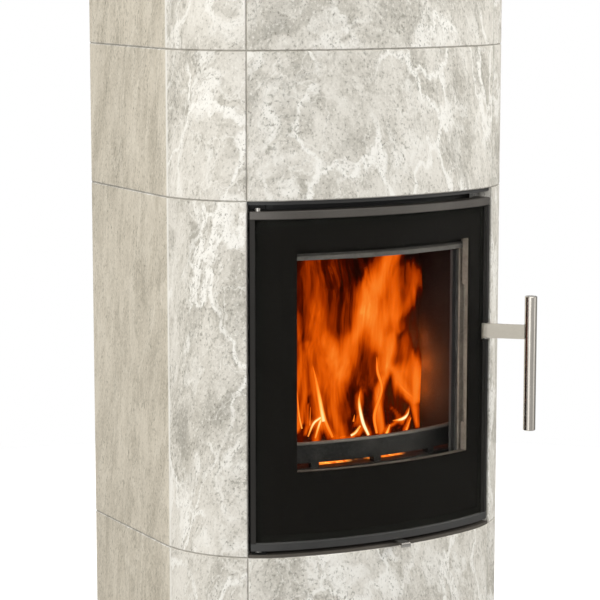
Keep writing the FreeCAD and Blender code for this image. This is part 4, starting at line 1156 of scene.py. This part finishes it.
@dataclass
class GlazedDoor:
    """Curved door: glass, frame, strips, bar behind the window head, pins and rope seal."""

    seal_half: float = math.radians(22.6)
    seal_across: float = 0.33
    seal_inset: float = 0.0388
    seal_low: float = 0.3765
    seal_high: float = 0.8189
    seal_radius: float = 0.0046
    strand_lay: float = 0.013
    strands: int = 5
    strand_relief: float = 0.07
    step: float = 0.0035
    sides: int = 15

    def build(self, shop: Workshop) -> None:
        """Dress the door and wind its rope.

        Args:
            shop: Workshop that holds the nodes.
        """
        shop.dress(DoorGlass("door_glass"), ["door_glass"])
        shop.nodes["door_glass"].visible_shadow = False
        shop.dress(FramePaint("frame_paint"), ["door_frame"])
        strip = StovePaint(
            "strip_paint", (0.060, 0.054, 0.047), (0.100, 0.091, 0.080), (0.34, 0.50), metallic=0.3)
        shop.dress(strip, ["door_top_strip"])
        foot = StovePaint(
            "foot_strip_paint", (0.030, 0.030, 0.029), (0.052, 0.051, 0.049), (0.40, 0.55), metallic=0.2)
        shop.dress(foot, ["door_bottom_strip"])
        edge = StovePaint(
            "edge_paint", (0.020, 0.019, 0.017), (0.032, 0.030, 0.028), (0.50, 0.65), gloss=0.1)
        shop.dress(edge, ["door_edge_strips"])
        bar = FramePaint(
            "bar_paint", grey_from=-1.0, grey_to=0.0235, grey=(0.055, 0.052, 0.048),
            wear_and_highlight=(0.105, 0.100, 0.091))
        shop.dress(bar, ["air_wash_bar"])
        tape = SealRope("seal_tape", (0.006, 0.006, 0.005), (0.009, 0.009, 0.008), gloss=0.0)
        shop.dress(tape, ["glass_tape"])
        shop.dress(BrushedSteel("pin_steel", BrushWay.TURNED), ["hinge_pins", "handle_pin"])
        rope = shop.place(self.rope(), "seal_rope", "door", SealRope("seal_rope"))
        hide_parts("door_seal")

    def rope_path(self) -> list[Vector]:
        """Points along the closed loop of the seal, about one step apart.

        Returns:
            The points, without the first one again at the end.
        """
        corners = [(-self.seal_half, self.seal_low), (self.seal_half, self.seal_low),
                   (self.seal_half, self.seal_high), (-self.seal_half, self.seal_high)]
        points: list[Vector] = []
        for (angle, high), (next_angle, next_high) in zip(corners, corners[1:] + corners[:1]):
            length = abs(next_high - high) or self.seal_across
            count = int(length / self.step)
            for index in range(count):
                share = index / count
                x, y = PLAN.point(angle + (next_angle - angle) * share, self.seal_inset)
                points.append(Vector((x, y, high + (next_high - high) * share)))
        return points

    def rope(self) -> bmesh.types.BMesh:
        """Sweep a twisted rope along the loop.

        Returns:
            The rope's mesh.
        """
        path = self.rope_path()
        made = bmesh.new()
        rings: list[Row] = []
        travelled = 0.0
        for index, spot in enumerate(path):
            ahead = path[(index + 1) % len(path)]
            along = (ahead - path[index - 1]).normalized()
            out = Vector((spot.x, spot.y - PLAN.bow_y, 0.0)).normalized()
            out = (out - along * out.dot(along)).normalized()
            side = along.cross(out)
            twist = math.tau * travelled / self.strand_lay / self.strands
            ring = []
            for corner in range(self.sides):
                turn = math.tau * corner / self.sides
                hollow = 1.0 - math.cos(self.strands * (turn + twist))
                swell = self.seal_radius * (1.0 - self.strand_relief * hollow)
                reach = (out * math.cos(turn) + side * math.sin(turn)) * swell
                ring.append(made.verts.new(spot + reach))
            rings.append(ring)
            travelled += (ahead - spot).length
        join_rows(made, rings + rings[:1], closed=True)
        bmesh.ops.recalc_face_normals(made, faces=made.faces)
        return made


@dataclass
class DoorHandle:
    """Flat lever and upright bar of bare steel."""

    def build(self, shop: Workshop) -> None:
        """Dress the bar and the lever, brushed along their lengths.

        Args:
            shop: Workshop that holds the nodes.
        """
        bar = BrushedSteel(
            "bar_steel", BrushWay.UPRIGHT, (0.60, 0.55, 0.48), (0.86, 0.81, 0.73), (0.14, 0.24))
        shop.dress(bar, ["handle_bar"])
        lever = BrushedSteel(
            "lever_steel", BrushWay.ACROSS, (0.37, 0.34, 0.29), (0.46, 0.43, 0.37), (0.38, 0.50))
        shop.dress(lever, ["handle_lever"])


@dataclass
class AirControl:
    """Slide and lever under the door."""

    def build(self, shop: Workshop) -> None:
        """Dress the slide and its lever."""
        shop.dress(BrushedSteel("slide_steel", BrushWay.ACROSS), ["air_slide", "air_lever"])


@dataclass
class EmberBed:
    """Heap of embers on the hearth, hot in spots that have an X, a Y and a radius."""

    half_width: float = 0.155
    front: float = -0.137
    back: float = 0.010
    bow: float = 0.016
    clear: float = 0.0012
    rise: float = 0.005
    lump: float = 0.009
    lump_scale: float = 60.0
    columns: int = 60
    rows: int = 28
    hot_spots: tuple[Point, ...] = (
        (-0.060, -0.125, 0.014), (-0.038, -0.122, 0.015), (-0.010, -0.120, 0.008), (0.015, -0.124, 0.010),
        (0.042, -0.124, 0.014), (0.058, -0.122, 0.011), (-0.095, -0.060, 0.030), (-0.030, -0.040, 0.035),
        (0.050, -0.045, 0.040), (0.100, -0.050, 0.030))

    def build(self, shop: Workshop) -> None:
        """Heap up the embers and mark their heat, which fades outside the hot spots.

        Args:
            shop: Workshop that holds the nodes.
        """
        made = bmesh.new()
        heat = made.verts.layers.float.new("burn")
        lay_sheet(made, self.columns, self.rows, self.point)
        for vert in made.verts:
            near = min(math.hypot(vert.co.x - x, vert.co.y - y) / radius for x, y, radius in self.hot_spots)
            vert[heat] = min(1.0, max(0.0, 1.6 - near))
        glowing = Charred(
            "embers", scale=150.0, hot_height=0.462, cold_height=0.486, strength=1.9, patched=True)
        shop.place(made, "ember_bed", "stove_body", glowing)

    def point(self, across: float, deep: float) -> Point:
        """Find a point on the heap, which is highest in the middle.

        Args:
            across: Share of the width, from the left.
            deep: Share of the depth, from the front.

        Returns:
            X, Y and Z.
        """
        side = 2 * across - 1
        x = self.half_width * side
        y = self.front + (self.back - self.front) * deep + self.bow * side ** 2
        edge = (1 - side ** 6) * (1 - abs(2 * deep - 1) ** 5)
        lump = self.lump * abs(noise.noise(Vector((x * self.lump_scale, y * self.lump_scale, 3.0))))
        return x, y, HEARTH + self.clear + edge * (self.rise + lump)


@dataclass(frozen=True)
class Log:
    """One split log: where its lower end stands, where it leans to, its thickness and its seed."""

    foot: Point
    head: Point
    radius: float
    seed: float


@dataclass
class LogPile:
    """Split logs on the embers."""

    logs: tuple[Log, ...] = (
        Log((-0.130, -0.038, 0.482), (0.120, -0.034, 0.484), 0.021, 1.0),
        Log((-0.105, -0.001, 0.481), (0.135, -0.003, 0.483), 0.018, 4.0),
        Log((-0.080, -0.044, 0.496), (-0.006, -0.010, 0.506), 0.014, 7.0),
        Log((0.108, -0.044, 0.496), (0.060, -0.010, 0.508), 0.013, 9.0))
    rings: int = 26
    sides: int = 18

    def build(self, shop: Workshop) -> None:
        """Lay the logs.

        Args:
            shop: Workshop that holds the nodes.
        """
        for index, log in enumerate(self.logs, 1):
            char = Charred(f"char_{index}", scale=80.0, hot_height=0.452, cold_height=0.480, strength=1.2)
            shop.place(self.split_log(log), f"log_{index}", "stove_body", char)

    def split_log(self, log: Log) -> bmesh.types.BMesh:
        """Wedge-shaped split log with a rough surface, closed at both ends.

        Args:
            log: The log to make.

        Returns:
            Its mesh.
        """
        made = bmesh.new()
        foot, head = Vector(log.foot), Vector(log.head)
        along = (head - foot).normalized()
        side = along.cross(Vector((0, 0, 1))).normalized()
        up = side.cross(along)
        rings: list[Row] = []
        for index in range(self.rings + 1):
            share = index / self.rings
            taper = 1.0 - 0.18 * abs(2 * share - 1) ** 8
            ring = []
            for corner in range(self.sides):
                turn = math.tau * corner / self.sides
                wedge = 1.0 - 0.22 * max(0.0, math.cos(turn - 0.9)) - 0.12 * abs(math.sin(1.5 * turn))
                spot = Vector((math.cos(turn) * 2.2 + log.seed, math.sin(turn) * 2.2, index * 0.22))
                rough = 1.0 + 0.16 * noise.noise(spot) + 0.07 * noise.noise(spot * 3.1)
                reach = (side * math.cos(turn) + up * math.sin(turn)) * log.radius * wedge * rough * taper
                ring.append(made.verts.new(foot.lerp(head, share) + reach))
            rings.append(ring)
        join_rows(made, rings, closed=True)
        made.faces.new(list(reversed(rings[0])))
        made.faces.new(rings[-1])
        bmesh.ops.recalc_face_normals(made, faces=made.faces)
        return made


@dataclass(frozen=True)
class Stroke:
    """One lick of flame as a smooth line: X, Z, half its width and its heat at each point."""

    points: tuple[tuple[float, float, float, float], ...]
    thinnest: float = 0.0003

    def trace(self, steps: int) -> list[Vector]:
        """Follow the line.

        Args:
            steps: Steps between two points.

        Returns:
            X, Z, half width and heat along the line.
        """
        knots = [Vector(point) for point in self.points]
        knots = [knots[0] * 2 - knots[1], *knots, knots[-1] * 2 - knots[-2]]
        line = []
        for before, start, end, after in zip(knots, knots[1:], knots[2:], knots[3:]):
            for index in range(steps):
                t = index / steps
                bend = (before * 2 - start * 5 + end * 4 - after) * t ** 2
                turn = (start * 3 - before - end * 3 + after) * t ** 3
                line.append((start * 2 + (end - before) * t + bend + turn) / 2)
        line.append(knots[-2])
        for spot in line:
            spot[2] = max(spot[2], self.thinnest)
        return line


@dataclass
class Flames:
    """A sheet of flame with wavering licks drawn on it, and sharp flames as ribbons in front of its foot."""

    left: float = -0.182
    right: float = 0.139
    sheet_y: float = -0.070
    clear: float = 0.003
    rise: float = 0.318
    wave: float = 0.007
    columns: int = 104
    rows: int = 76
    squeeze: float = 0.87
    sight_across: float = 0.565
    sight_down: float = 0.23
    halo_spread: float = 1.6
    halo_rim: float = 0.001
    halo_heat: float = 0.70
    tongue_y: float = -0.090
    tongue_turn: float = -0.49
    tongue_stagger: float = 0.0016
    licks: tuple[Stroke, ...] = (
        Stroke(((-0.106, 0.490, 0.009, 0.60), (-0.110, 0.565, 0.018, 0.75), (-0.102, 0.650, 0.013, 0.60),
                (-0.100, 0.715, 0.006, 0.35))),
        Stroke(((-0.020, 0.520, 0.120, 0.20), (-0.010, 0.600, 0.130, 0.22), (0.010, 0.680, 0.090, 0.18))),
        Stroke(((-0.152, 0.488, 0.010, 0.60), (-0.148, 0.545, 0.017, 0.70), (-0.158, 0.620, 0.012, 0.55),
                (-0.154, 0.680, 0.005, 0.35))),
        Stroke(((0.000, 0.484, 0.008, 0.70), (-0.005, 0.542, 0.015, 0.70), (-0.014, 0.597, 0.032, 0.85),
                (-0.035, 0.641, 0.016, 0.65), (-0.039, 0.692, 0.014, 0.50), (-0.036, 0.725, 0.007, 0.35))),
        Stroke(((0.005, 0.576, 0.014, 0.80), (0.016, 0.618, 0.017, 0.75), (0.029, 0.640, 0.015, 0.80),
                (0.043, 0.658, 0.016, 0.90))),
        Stroke(((0.076, 0.584, 0.012, 0.85), (0.075, 0.613, 0.015, 0.85), (0.059, 0.652, 0.026, 0.95),
                (0.051, 0.686, 0.022, 0.95), (0.067, 0.713, 0.020, 0.85), (0.088, 0.750, 0.011, 0.70))),
        Stroke(((0.036, 0.663, 0.006, 0.90), (0.039, 0.703, 0.004, 0.75), (0.041, 0.738, 0.001, 0.50))),
        Stroke(((0.069, 0.487, 0.006, 0.80), (0.063, 0.528, 0.008, 0.80), (0.074, 0.560, 0.008, 0.85),
                (0.086, 0.600, 0.009, 0.85), (0.087, 0.631, 0.010, 0.80))),
        Stroke(((0.135, 0.485, 0.003, 0.60), (0.128, 0.526, 0.005, 0.85), (0.111, 0.552, 0.011, 0.85),
                (0.090, 0.576, 0.008, 0.85))),
        Stroke(((0.132, 0.533, 0.007, 0.85), (0.129, 0.565, 0.013, 0.90), (0.125, 0.604, 0.002, 0.70))),
        Stroke(((0.101, 0.634, 0.006, 0.65), (0.095, 0.656, 0.008, 0.70), (0.107, 0.672, 0.011, 0.60),
                (0.121, 0.690, 0.013, 0.60), (0.126, 0.713, 0.014, 0.55), (0.114, 0.738, 0.007, 0.40))),
        Stroke(((0.087, 0.664, 0.014, 0.75), (0.096, 0.704, 0.014, 0.65), (0.100, 0.727, 0.009, 0.50))),
        Stroke(((-0.072, 0.503, 0.004, 0.85), (-0.071, 0.560, 0.006, 0.70), (-0.069, 0.671, 0.005, 0.45))),
        Stroke(((-0.059, 0.509, 0.004, 0.60), (-0.057, 0.556, 0.007, 0.60), (-0.061, 0.610, 0.007, 0.50))),
        Stroke(((-0.046, 0.555, 0.006, 0.65), (-0.055, 0.628, 0.007, 0.55))),
        Stroke(((-0.056, 0.661, 0.026, 0.40), (-0.046, 0.748, 0.030, 0.36))),
        Stroke(((-0.019, 0.658, 0.028, 0.40), (-0.011, 0.690, 0.026, 0.33), (-0.019, 0.730, 0.019, 0.28))),
        Stroke(((0.041, 0.559, 0.021, 0.30), (0.043, 0.601, 0.019, 0.36), (0.051, 0.629, 0.016, 0.50))),
        Stroke(((0.112, 0.614, 0.014, 0.45), (0.118, 0.590, 0.016, 0.60), (0.110, 0.576, 0.014, 0.80))),
        Stroke(((0.096, 0.532, 0.016, 0.20), (0.107, 0.509, 0.014, 0.22))),
        Stroke(((0.088, 0.525, 0.003, 0.45), (0.102, 0.507, 0.003, 0.50), (0.110, 0.502, 0.002, 0.50))))
    tongues: tuple[Stroke, ...] = (
        Stroke(((-0.040, 0.516, 0.0050, 1.30), (-0.045, 0.542, 0.0045, 1.20), (-0.052, 0.575, 0.0030, 1.00),
                (-0.058, 0.599, 0.0005, 0.85))),
        Stroke(((-0.065, 0.496, 0.0015, 1.05), (-0.056, 0.514, 0.0025, 1.30), (-0.044, 0.522, 0.0030, 1.30))),
        Stroke(((-0.052, 0.492, 0.0020, 1.00), (-0.046, 0.510, 0.0025, 1.25), (-0.040, 0.523, 0.0025, 1.25))),
        Stroke(((-0.022, 0.490, 0.0030, 0.95), (-0.033, 0.512, 0.0035, 1.05), (-0.039, 0.530, 0.0030, 1.10))),
        Stroke(((0.036, 0.488, 0.0030, 1.35), (0.026, 0.509, 0.0035, 1.45), (0.020, 0.536, 0.0030, 1.20),
                (0.021, 0.554, 0.0005, 0.90))),
        Stroke(((0.007, 0.490, 0.0025, 1.35), (0.015, 0.494, 0.0030, 1.30), (0.023, 0.503, 0.0020, 1.20))),
        Stroke(((0.012, 0.510, 0.0020, 1.05), (0.014, 0.520, 0.0005, 0.90))),
        Stroke(((0.053, 0.488, 0.0025, 1.00), (0.049, 0.516, 0.0035, 1.00), (0.061, 0.553, 0.0030, 1.00),
                (0.054, 0.580, 0.0030, 1.00), (0.052, 0.602, 0.0005, 0.90))),
        Stroke(((0.067, 0.487, 0.0035, 1.20), (0.073, 0.500, 0.0015, 1.00))),
        Stroke(((0.078, 0.505, 0.0005, 0.90), (0.095, 0.506, 0.0035, 1.40), (0.104, 0.512, 0.0020, 1.30),
                (0.107, 0.521, 0.0005, 1.00))),
        Stroke(((0.103, 0.488, 0.0025, 1.05), (0.111, 0.506, 0.0010, 0.95))),
        Stroke(((0.115, 0.536, 0.0010, 0.95), (0.100, 0.548, 0.0020, 1.00), (0.087, 0.564, 0.0010, 0.90))),
        Stroke(((-0.076, 0.509, 0.0015, 1.15), (-0.081, 0.531, 0.0020, 1.05), (-0.084, 0.564, 0.0010, 0.85))),
        Stroke(((-0.062, 0.512, 0.0010, 1.05), (-0.061, 0.539, 0.0005, 0.85))),
        Stroke(((-0.001, 0.490, 0.0005, 0.90), (-0.011, 0.489, 0.0010, 0.90))))

    def build(self, shop: Workshop) -> None:
        """Raise the flames.

        Args:
            shop: Workshop that holds the nodes.
        """
        shop.place(self.sheet(), "flame_body", "stove_body", Flame("flame_body", streaks=0.90))
        sharp = Flame("flame_tongues", streaks=0.30, strength=1.25)
        shop.place(self.sharp_flames(), "flame_tongues", "stove_body", sharp)

    def sheet(self) -> bmesh.types.BMesh:
        """Waving sheet in front of the logs that carries the heat of all licks.

        Returns:
            The sheet's mesh.
        """
        made = bmesh.new()
        layer = made.verts.layers.float.new("burn")
        lay_sheet(made, self.columns, self.rows, self.point)
        drawn = np.array([self.waver(vert.co) for vert in made.verts])
        for vert, heat in zip(made.verts, self.heat(drawn[:, 0], drawn[:, 1])):
            vert[layer] = float(heat)
        return made

    def point(self, across: float, up: float) -> Point:
        """Find a point of the sheet.

        Args:
            across: Share of the width, from the left.
            up: Share of the height.

        Returns:
            X, Y and Z.
        """
        x = self.left + (self.right - self.left) * across
        z = HEARTH + self.clear + self.rise * up
        return x, self.sheet_y + self.wave * noise.noise(Vector((x * 14, z * 7, 2.0))), z

    def waver(self, spot: Vector) -> tuple[float, float]:
        """Push a point of the sheet about, so that the licks drawn on it waver.

        Args:
            spot: Point of the sheet.

        Returns:
            X and Z where the licks are looked up.
        """
        slow = Vector((spot.x * 30, spot.z * 14, 5.0))
        quick = Vector((spot.x * 80, spot.z * 34, 8.0))
        lift = Vector((0.0, 0.0, 3.7))
        return (spot.x + 0.008 * noise.noise(slow) + 0.004 * noise.noise(quick),
                spot.z + 0.012 * noise.noise(slow + lift) + 0.006 * noise.noise(quick + lift))

    def halo(self, tongue: Stroke) -> Stroke:
        """Wider, cooler lick on the sheet behind a sharp flame, as the camera lines them up.

        Args:
            tongue: The sharp flame.

        Returns:
            The lick.
        """
        back = self.sheet_y - self.tongue_y
        right, down = self.sight_across * back, self.sight_down * back
        return Stroke(tuple((x + right, z - down, self.halo_spread * half + self.halo_rim, self.halo_heat)
                            for x, z, half, _ in tongue.points))

    def heat(self, x: np.ndarray, z: np.ndarray) -> np.ndarray:
        """Blend the heat of every lick.

        Args:
            x: X of points on the sheet.
            z: Z of the same points.

        Returns:
            Heat at each point.
        """
        total = np.zeros_like(x)
        for stroke in (*self.licks, *map(self.halo, self.tongues)):
            line = stroke.trace(4)
            best = np.zeros_like(x)
            for start, end in zip(line, line[1:]):
                run_x, run_z = (end[0] - start[0]) * self.squeeze, end[1] - start[1]
                from_x, from_z = (x - start[0]) * self.squeeze, z - start[1]
                share = np.clip((from_x * run_x + from_z * run_z) / (run_x ** 2 + run_z ** 2), 0.0, 1.0)
                width = start[2] + (end[2] - start[2]) * share
                away = np.hypot(from_x - run_x * share, from_z - run_z * share) / width
                warmth = start[3] + (end[3] - start[3]) * share
                best = np.maximum(best, warmth * np.exp(-0.62 * away ** 2))
            total += best ** 4
        return total ** 0.25

    def sharp_flames(self) -> bmesh.types.BMesh:
        """Two slim crossed ribbons for each sharp flame.

        Returns:
            The mesh of all ribbons.
        """
        made = bmesh.new()
        made.verts.layers.float.new("burn")
        made.verts.layers.float.new("margin")
        for order, tongue in enumerate(self.tongues):
            depth = self.tongue_y + self.tongue_stagger * (order % 4)
            for turn in (self.tongue_turn, self.tongue_turn + math.pi / 2):
                self.ribbon(made, tongue.trace(8), depth, turn)
        return made

    def ribbon(self, made: bmesh.types.BMesh, line: list[Vector], depth: float, turn: float) -> None:
        """Add one ribbon with a middle line, marked as edge at both sides.

        Args:
            made: Mesh with the layers for heat and edge.
            line: X, Z, half width and heat along the flame.
            depth: Y of the flame.
            turn: Direction that the ribbon's width has in plan, in radians.
        """
        heat, edge = made.verts.layers.float["burn"], made.verts.layers.float["margin"]
        out = Vector((math.cos(turn), math.sin(turn), 0.0))
        rows: list[Row] = []
        for before, spot, after in zip(line[:1] + line, line, line[1:] + line[-1:]):
            run = Vector(((after[0] - before[0]) * self.squeeze, after[1] - before[1])).normalized()
            side = (out * run[1] - Vector((0.0, 0.0, 1.0)) * run[0]) * spot[2]
            middle = Vector((spot[0], depth, spot[1]))
            rows.append([made.verts.new(middle + side * place) for place in (-1.0, 0.0, 1.0)])
            for vert, near in zip(rows[-1], (1.0, 0.0, 1.0)):
                vert[heat] = spot[3]
                vert[edge] = near
        join_rows(made, rows)


@dataclass
class Lamp:
    """One soft light: where it stands, what it faces, its size, power and colour, and if steel mirrors it."""

    name: str
    place: Point
    target: Point
    size: tuple[float, float]
    watts: float
    colour: Colour = (1.0, 1.0, 1.0)
    mirrored: bool = True


@dataclass
class Studio:
    """Floor, soft light, pale surroundings and the camera.

    A panel has a direction, the angles where it ends and where it is full, in degrees, and a strength.
    A glow of the fire has a place and its watts.
    """

    floor_radius: float = 2.2
    floor_drop: float = 0.0005
    camera_place: Point = (-1.684, -2.929, 1.190)
    camera_yaw: float = 0.5145
    camera_pitch: float = 0.1502
    focal_pixels: float = 2314.0
    frame_pixels: float = 600.0
    sensor: float = 36.0
    panels: tuple[tuple[float, float, float, float], ...] = (
        (-20.0, 105.0, 60.0, 0.44), (-54.0, 24.0, 9.0, 1.5), (44.0, 20.0, 9.0, 1.2))
    lamps: tuple[Lamp, ...] = (
        Lamp("key", (-2.0, -3.1, 1.6), (0.0, 0.0, 0.7), (2.4, 2.0), 63.0),
        Lamp("fill", (3.1, -2.0, 2.2), (0.0, 0.0, 0.7), (2.0, 2.0), 104.0, (1.0, 0.972, 0.920)),
        Lamp("side", (-3.2, -0.3, 1.3), (-0.2, 0.0, 0.7), (1.8, 2.0), 50.0, (1.0, 0.96, 0.89), False),
        Lamp("over", (0.0, 0.2, 3.6), (0.0, 0.0, 0.0), (3.0, 3.0), 40.0),
        Lamp("rear", (1.2, 3.2, 2.4), (0.0, 0.0, 0.7), (2.2, 2.0), 50.0))
    glows: tuple[tuple[Point, float], ...] = (
        ((0.174, 0.005, 0.528), 0.15), ((0.174, 0.003, 0.566), 0.22), ((0.173, 0.008, 0.604), 0.09),
        ((-0.060, -0.090, 0.520), 0.06))
    glow_colour: Colour = (1.0, 0.25, 0.035)
    glow_radius: float = 0.014

    def build(self) -> None:
        """Set up floor, surroundings, lamps, fire light and camera."""
        bpy.context.scene.view_settings.view_transform = "Standard"
        self.floor()
        self.surroundings()
        for lamp in self.lamps:
            self.hang(lamp)
        self.fire_light()
        self.camera()

    def floor(self) -> None:
        """Round pale floor just under the feet."""
        made = bmesh.new()
        bmesh.ops.create_circle(made, cap_ends=True, radius=self.floor_radius, segments=96,
                                matrix=Matrix.Translation((0.0, 0.0, -self.floor_drop)))
        floor = stand_mesh(made, "studio_floor", StudioFloor("studio_floor"), False)
        floor.visible_glossy = floor.visible_transmission = floor.visible_diffuse = False

    def surroundings(self) -> None:
        """White to look at, also through glass, dimmer as a light; steel mirrors upright panels."""
        world = bpy.data.worlds.new("studio")
        bpy.context.scene.world = world
        world.use_nodes = True
        world.node_tree.nodes.clear()
        graph = Graph(world.node_tree)
        x, y, z = graph.apart(graph.node("TexCoord").outputs["Generated"])
        rays = graph.node("LightPath")
        strength = graph.step(z, -0.35, 0.35, 0.28, 0.38)
        upright = graph.times(graph.step(z, -0.5, -0.2), rays.outputs["Is Glossy Ray"])
        for way, edge, core, level in self.panels:
            turn = math.radians(way)
            facing = graph.plus(graph.times(x, math.sin(turn)), graph.times(y, -math.cos(turn)))
            panel = graph.step(facing, math.cos(math.radians(edge)), math.cos(math.radians(core)), 0.0, level)
            strength = graph.math("MAXIMUM", strength, graph.times(panel, upright))
        bounced = graph.plus(rays.outputs["Diffuse Depth"], rays.outputs["Glossy Depth"])
        through = graph.times(rays.outputs["Is Transmission Ray"], graph.math("LESS_THAN", bounced, 0.5))
        seen = graph.math("MAXIMUM", rays.outputs["Is Camera Ray"], through)
        strength = graph.math("MAXIMUM", strength, seen)
        sky = graph.node("Background", {"Color": (1.0, 1.0, 1.0), "Strength": strength})
        graph.node("OutputWorld", {"Surface": sky.outputs[0]})

    def hang(self, lamp: Lamp) -> None:
        """Hang one soft light.

        Args:
            lamp: The light.
        """
        data = bpy.data.lights.new(lamp.name, "AREA")
        data.shape = "RECTANGLE"
        data.size, data.size_y = lamp.size
        data.energy = lamp.watts
        data.color = lamp.colour
        made = stand(lamp.name, data)
        made.visible_glossy = lamp.mirrored
        aim(made, lamp.place, Vector(lamp.target) - Vector(lamp.place))

    def fire_light(self) -> None:
        """Warm glow of the fire on the linings, seen only by what it lights."""
        for index, (place, watts) in enumerate(self.glows):
            data = bpy.data.lights.new(f"fire_glow_{index + 1}", "POINT")
            data.energy = watts
            data.color = self.glow_colour
            data.shadow_soft_size = self.glow_radius
            made = stand(data.name, data)
            made.location = place
            made.visible_camera = made.visible_glossy = made.visible_transmission = False

    def camera(self) -> None:
        """Stand the camera where the photograph was taken from."""
        data = bpy.data.cameras.new("camera")
        data.sensor_width = self.sensor
        data.lens = self.focal_pixels / self.frame_pixels * self.sensor
        data.clip_start, data.clip_end = 0.05, 60.0
        flat = math.cos(self.camera_pitch)
        right, ahead = math.sin(self.camera_yaw) * flat, math.cos(self.camera_yaw) * flat
        made = stand("camera", data)
        aim(made, self.camera_place, Vector((right, ahead, -math.sin(self.camera_pitch))))
        bpy.context.scene.camera = made


def main() -> None:
    """Load the frame, dress it and light it."""
    logging.basicConfig(level=logging.INFO, format="%(name)s: %(message)s")
    for default in list(bpy.data.objects):
        bpy.data.objects.remove(default)
    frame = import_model()
    shop = Workshop(frame)
    for part in (StoneShell(), Carcass(), GlazedDoor(), DoorHandle(), AirControl(), EmberBed(), LogPile(),
                 Flames()):
        part.build(shop)
    Studio().build()


if __name__ == "__main__":
    main()
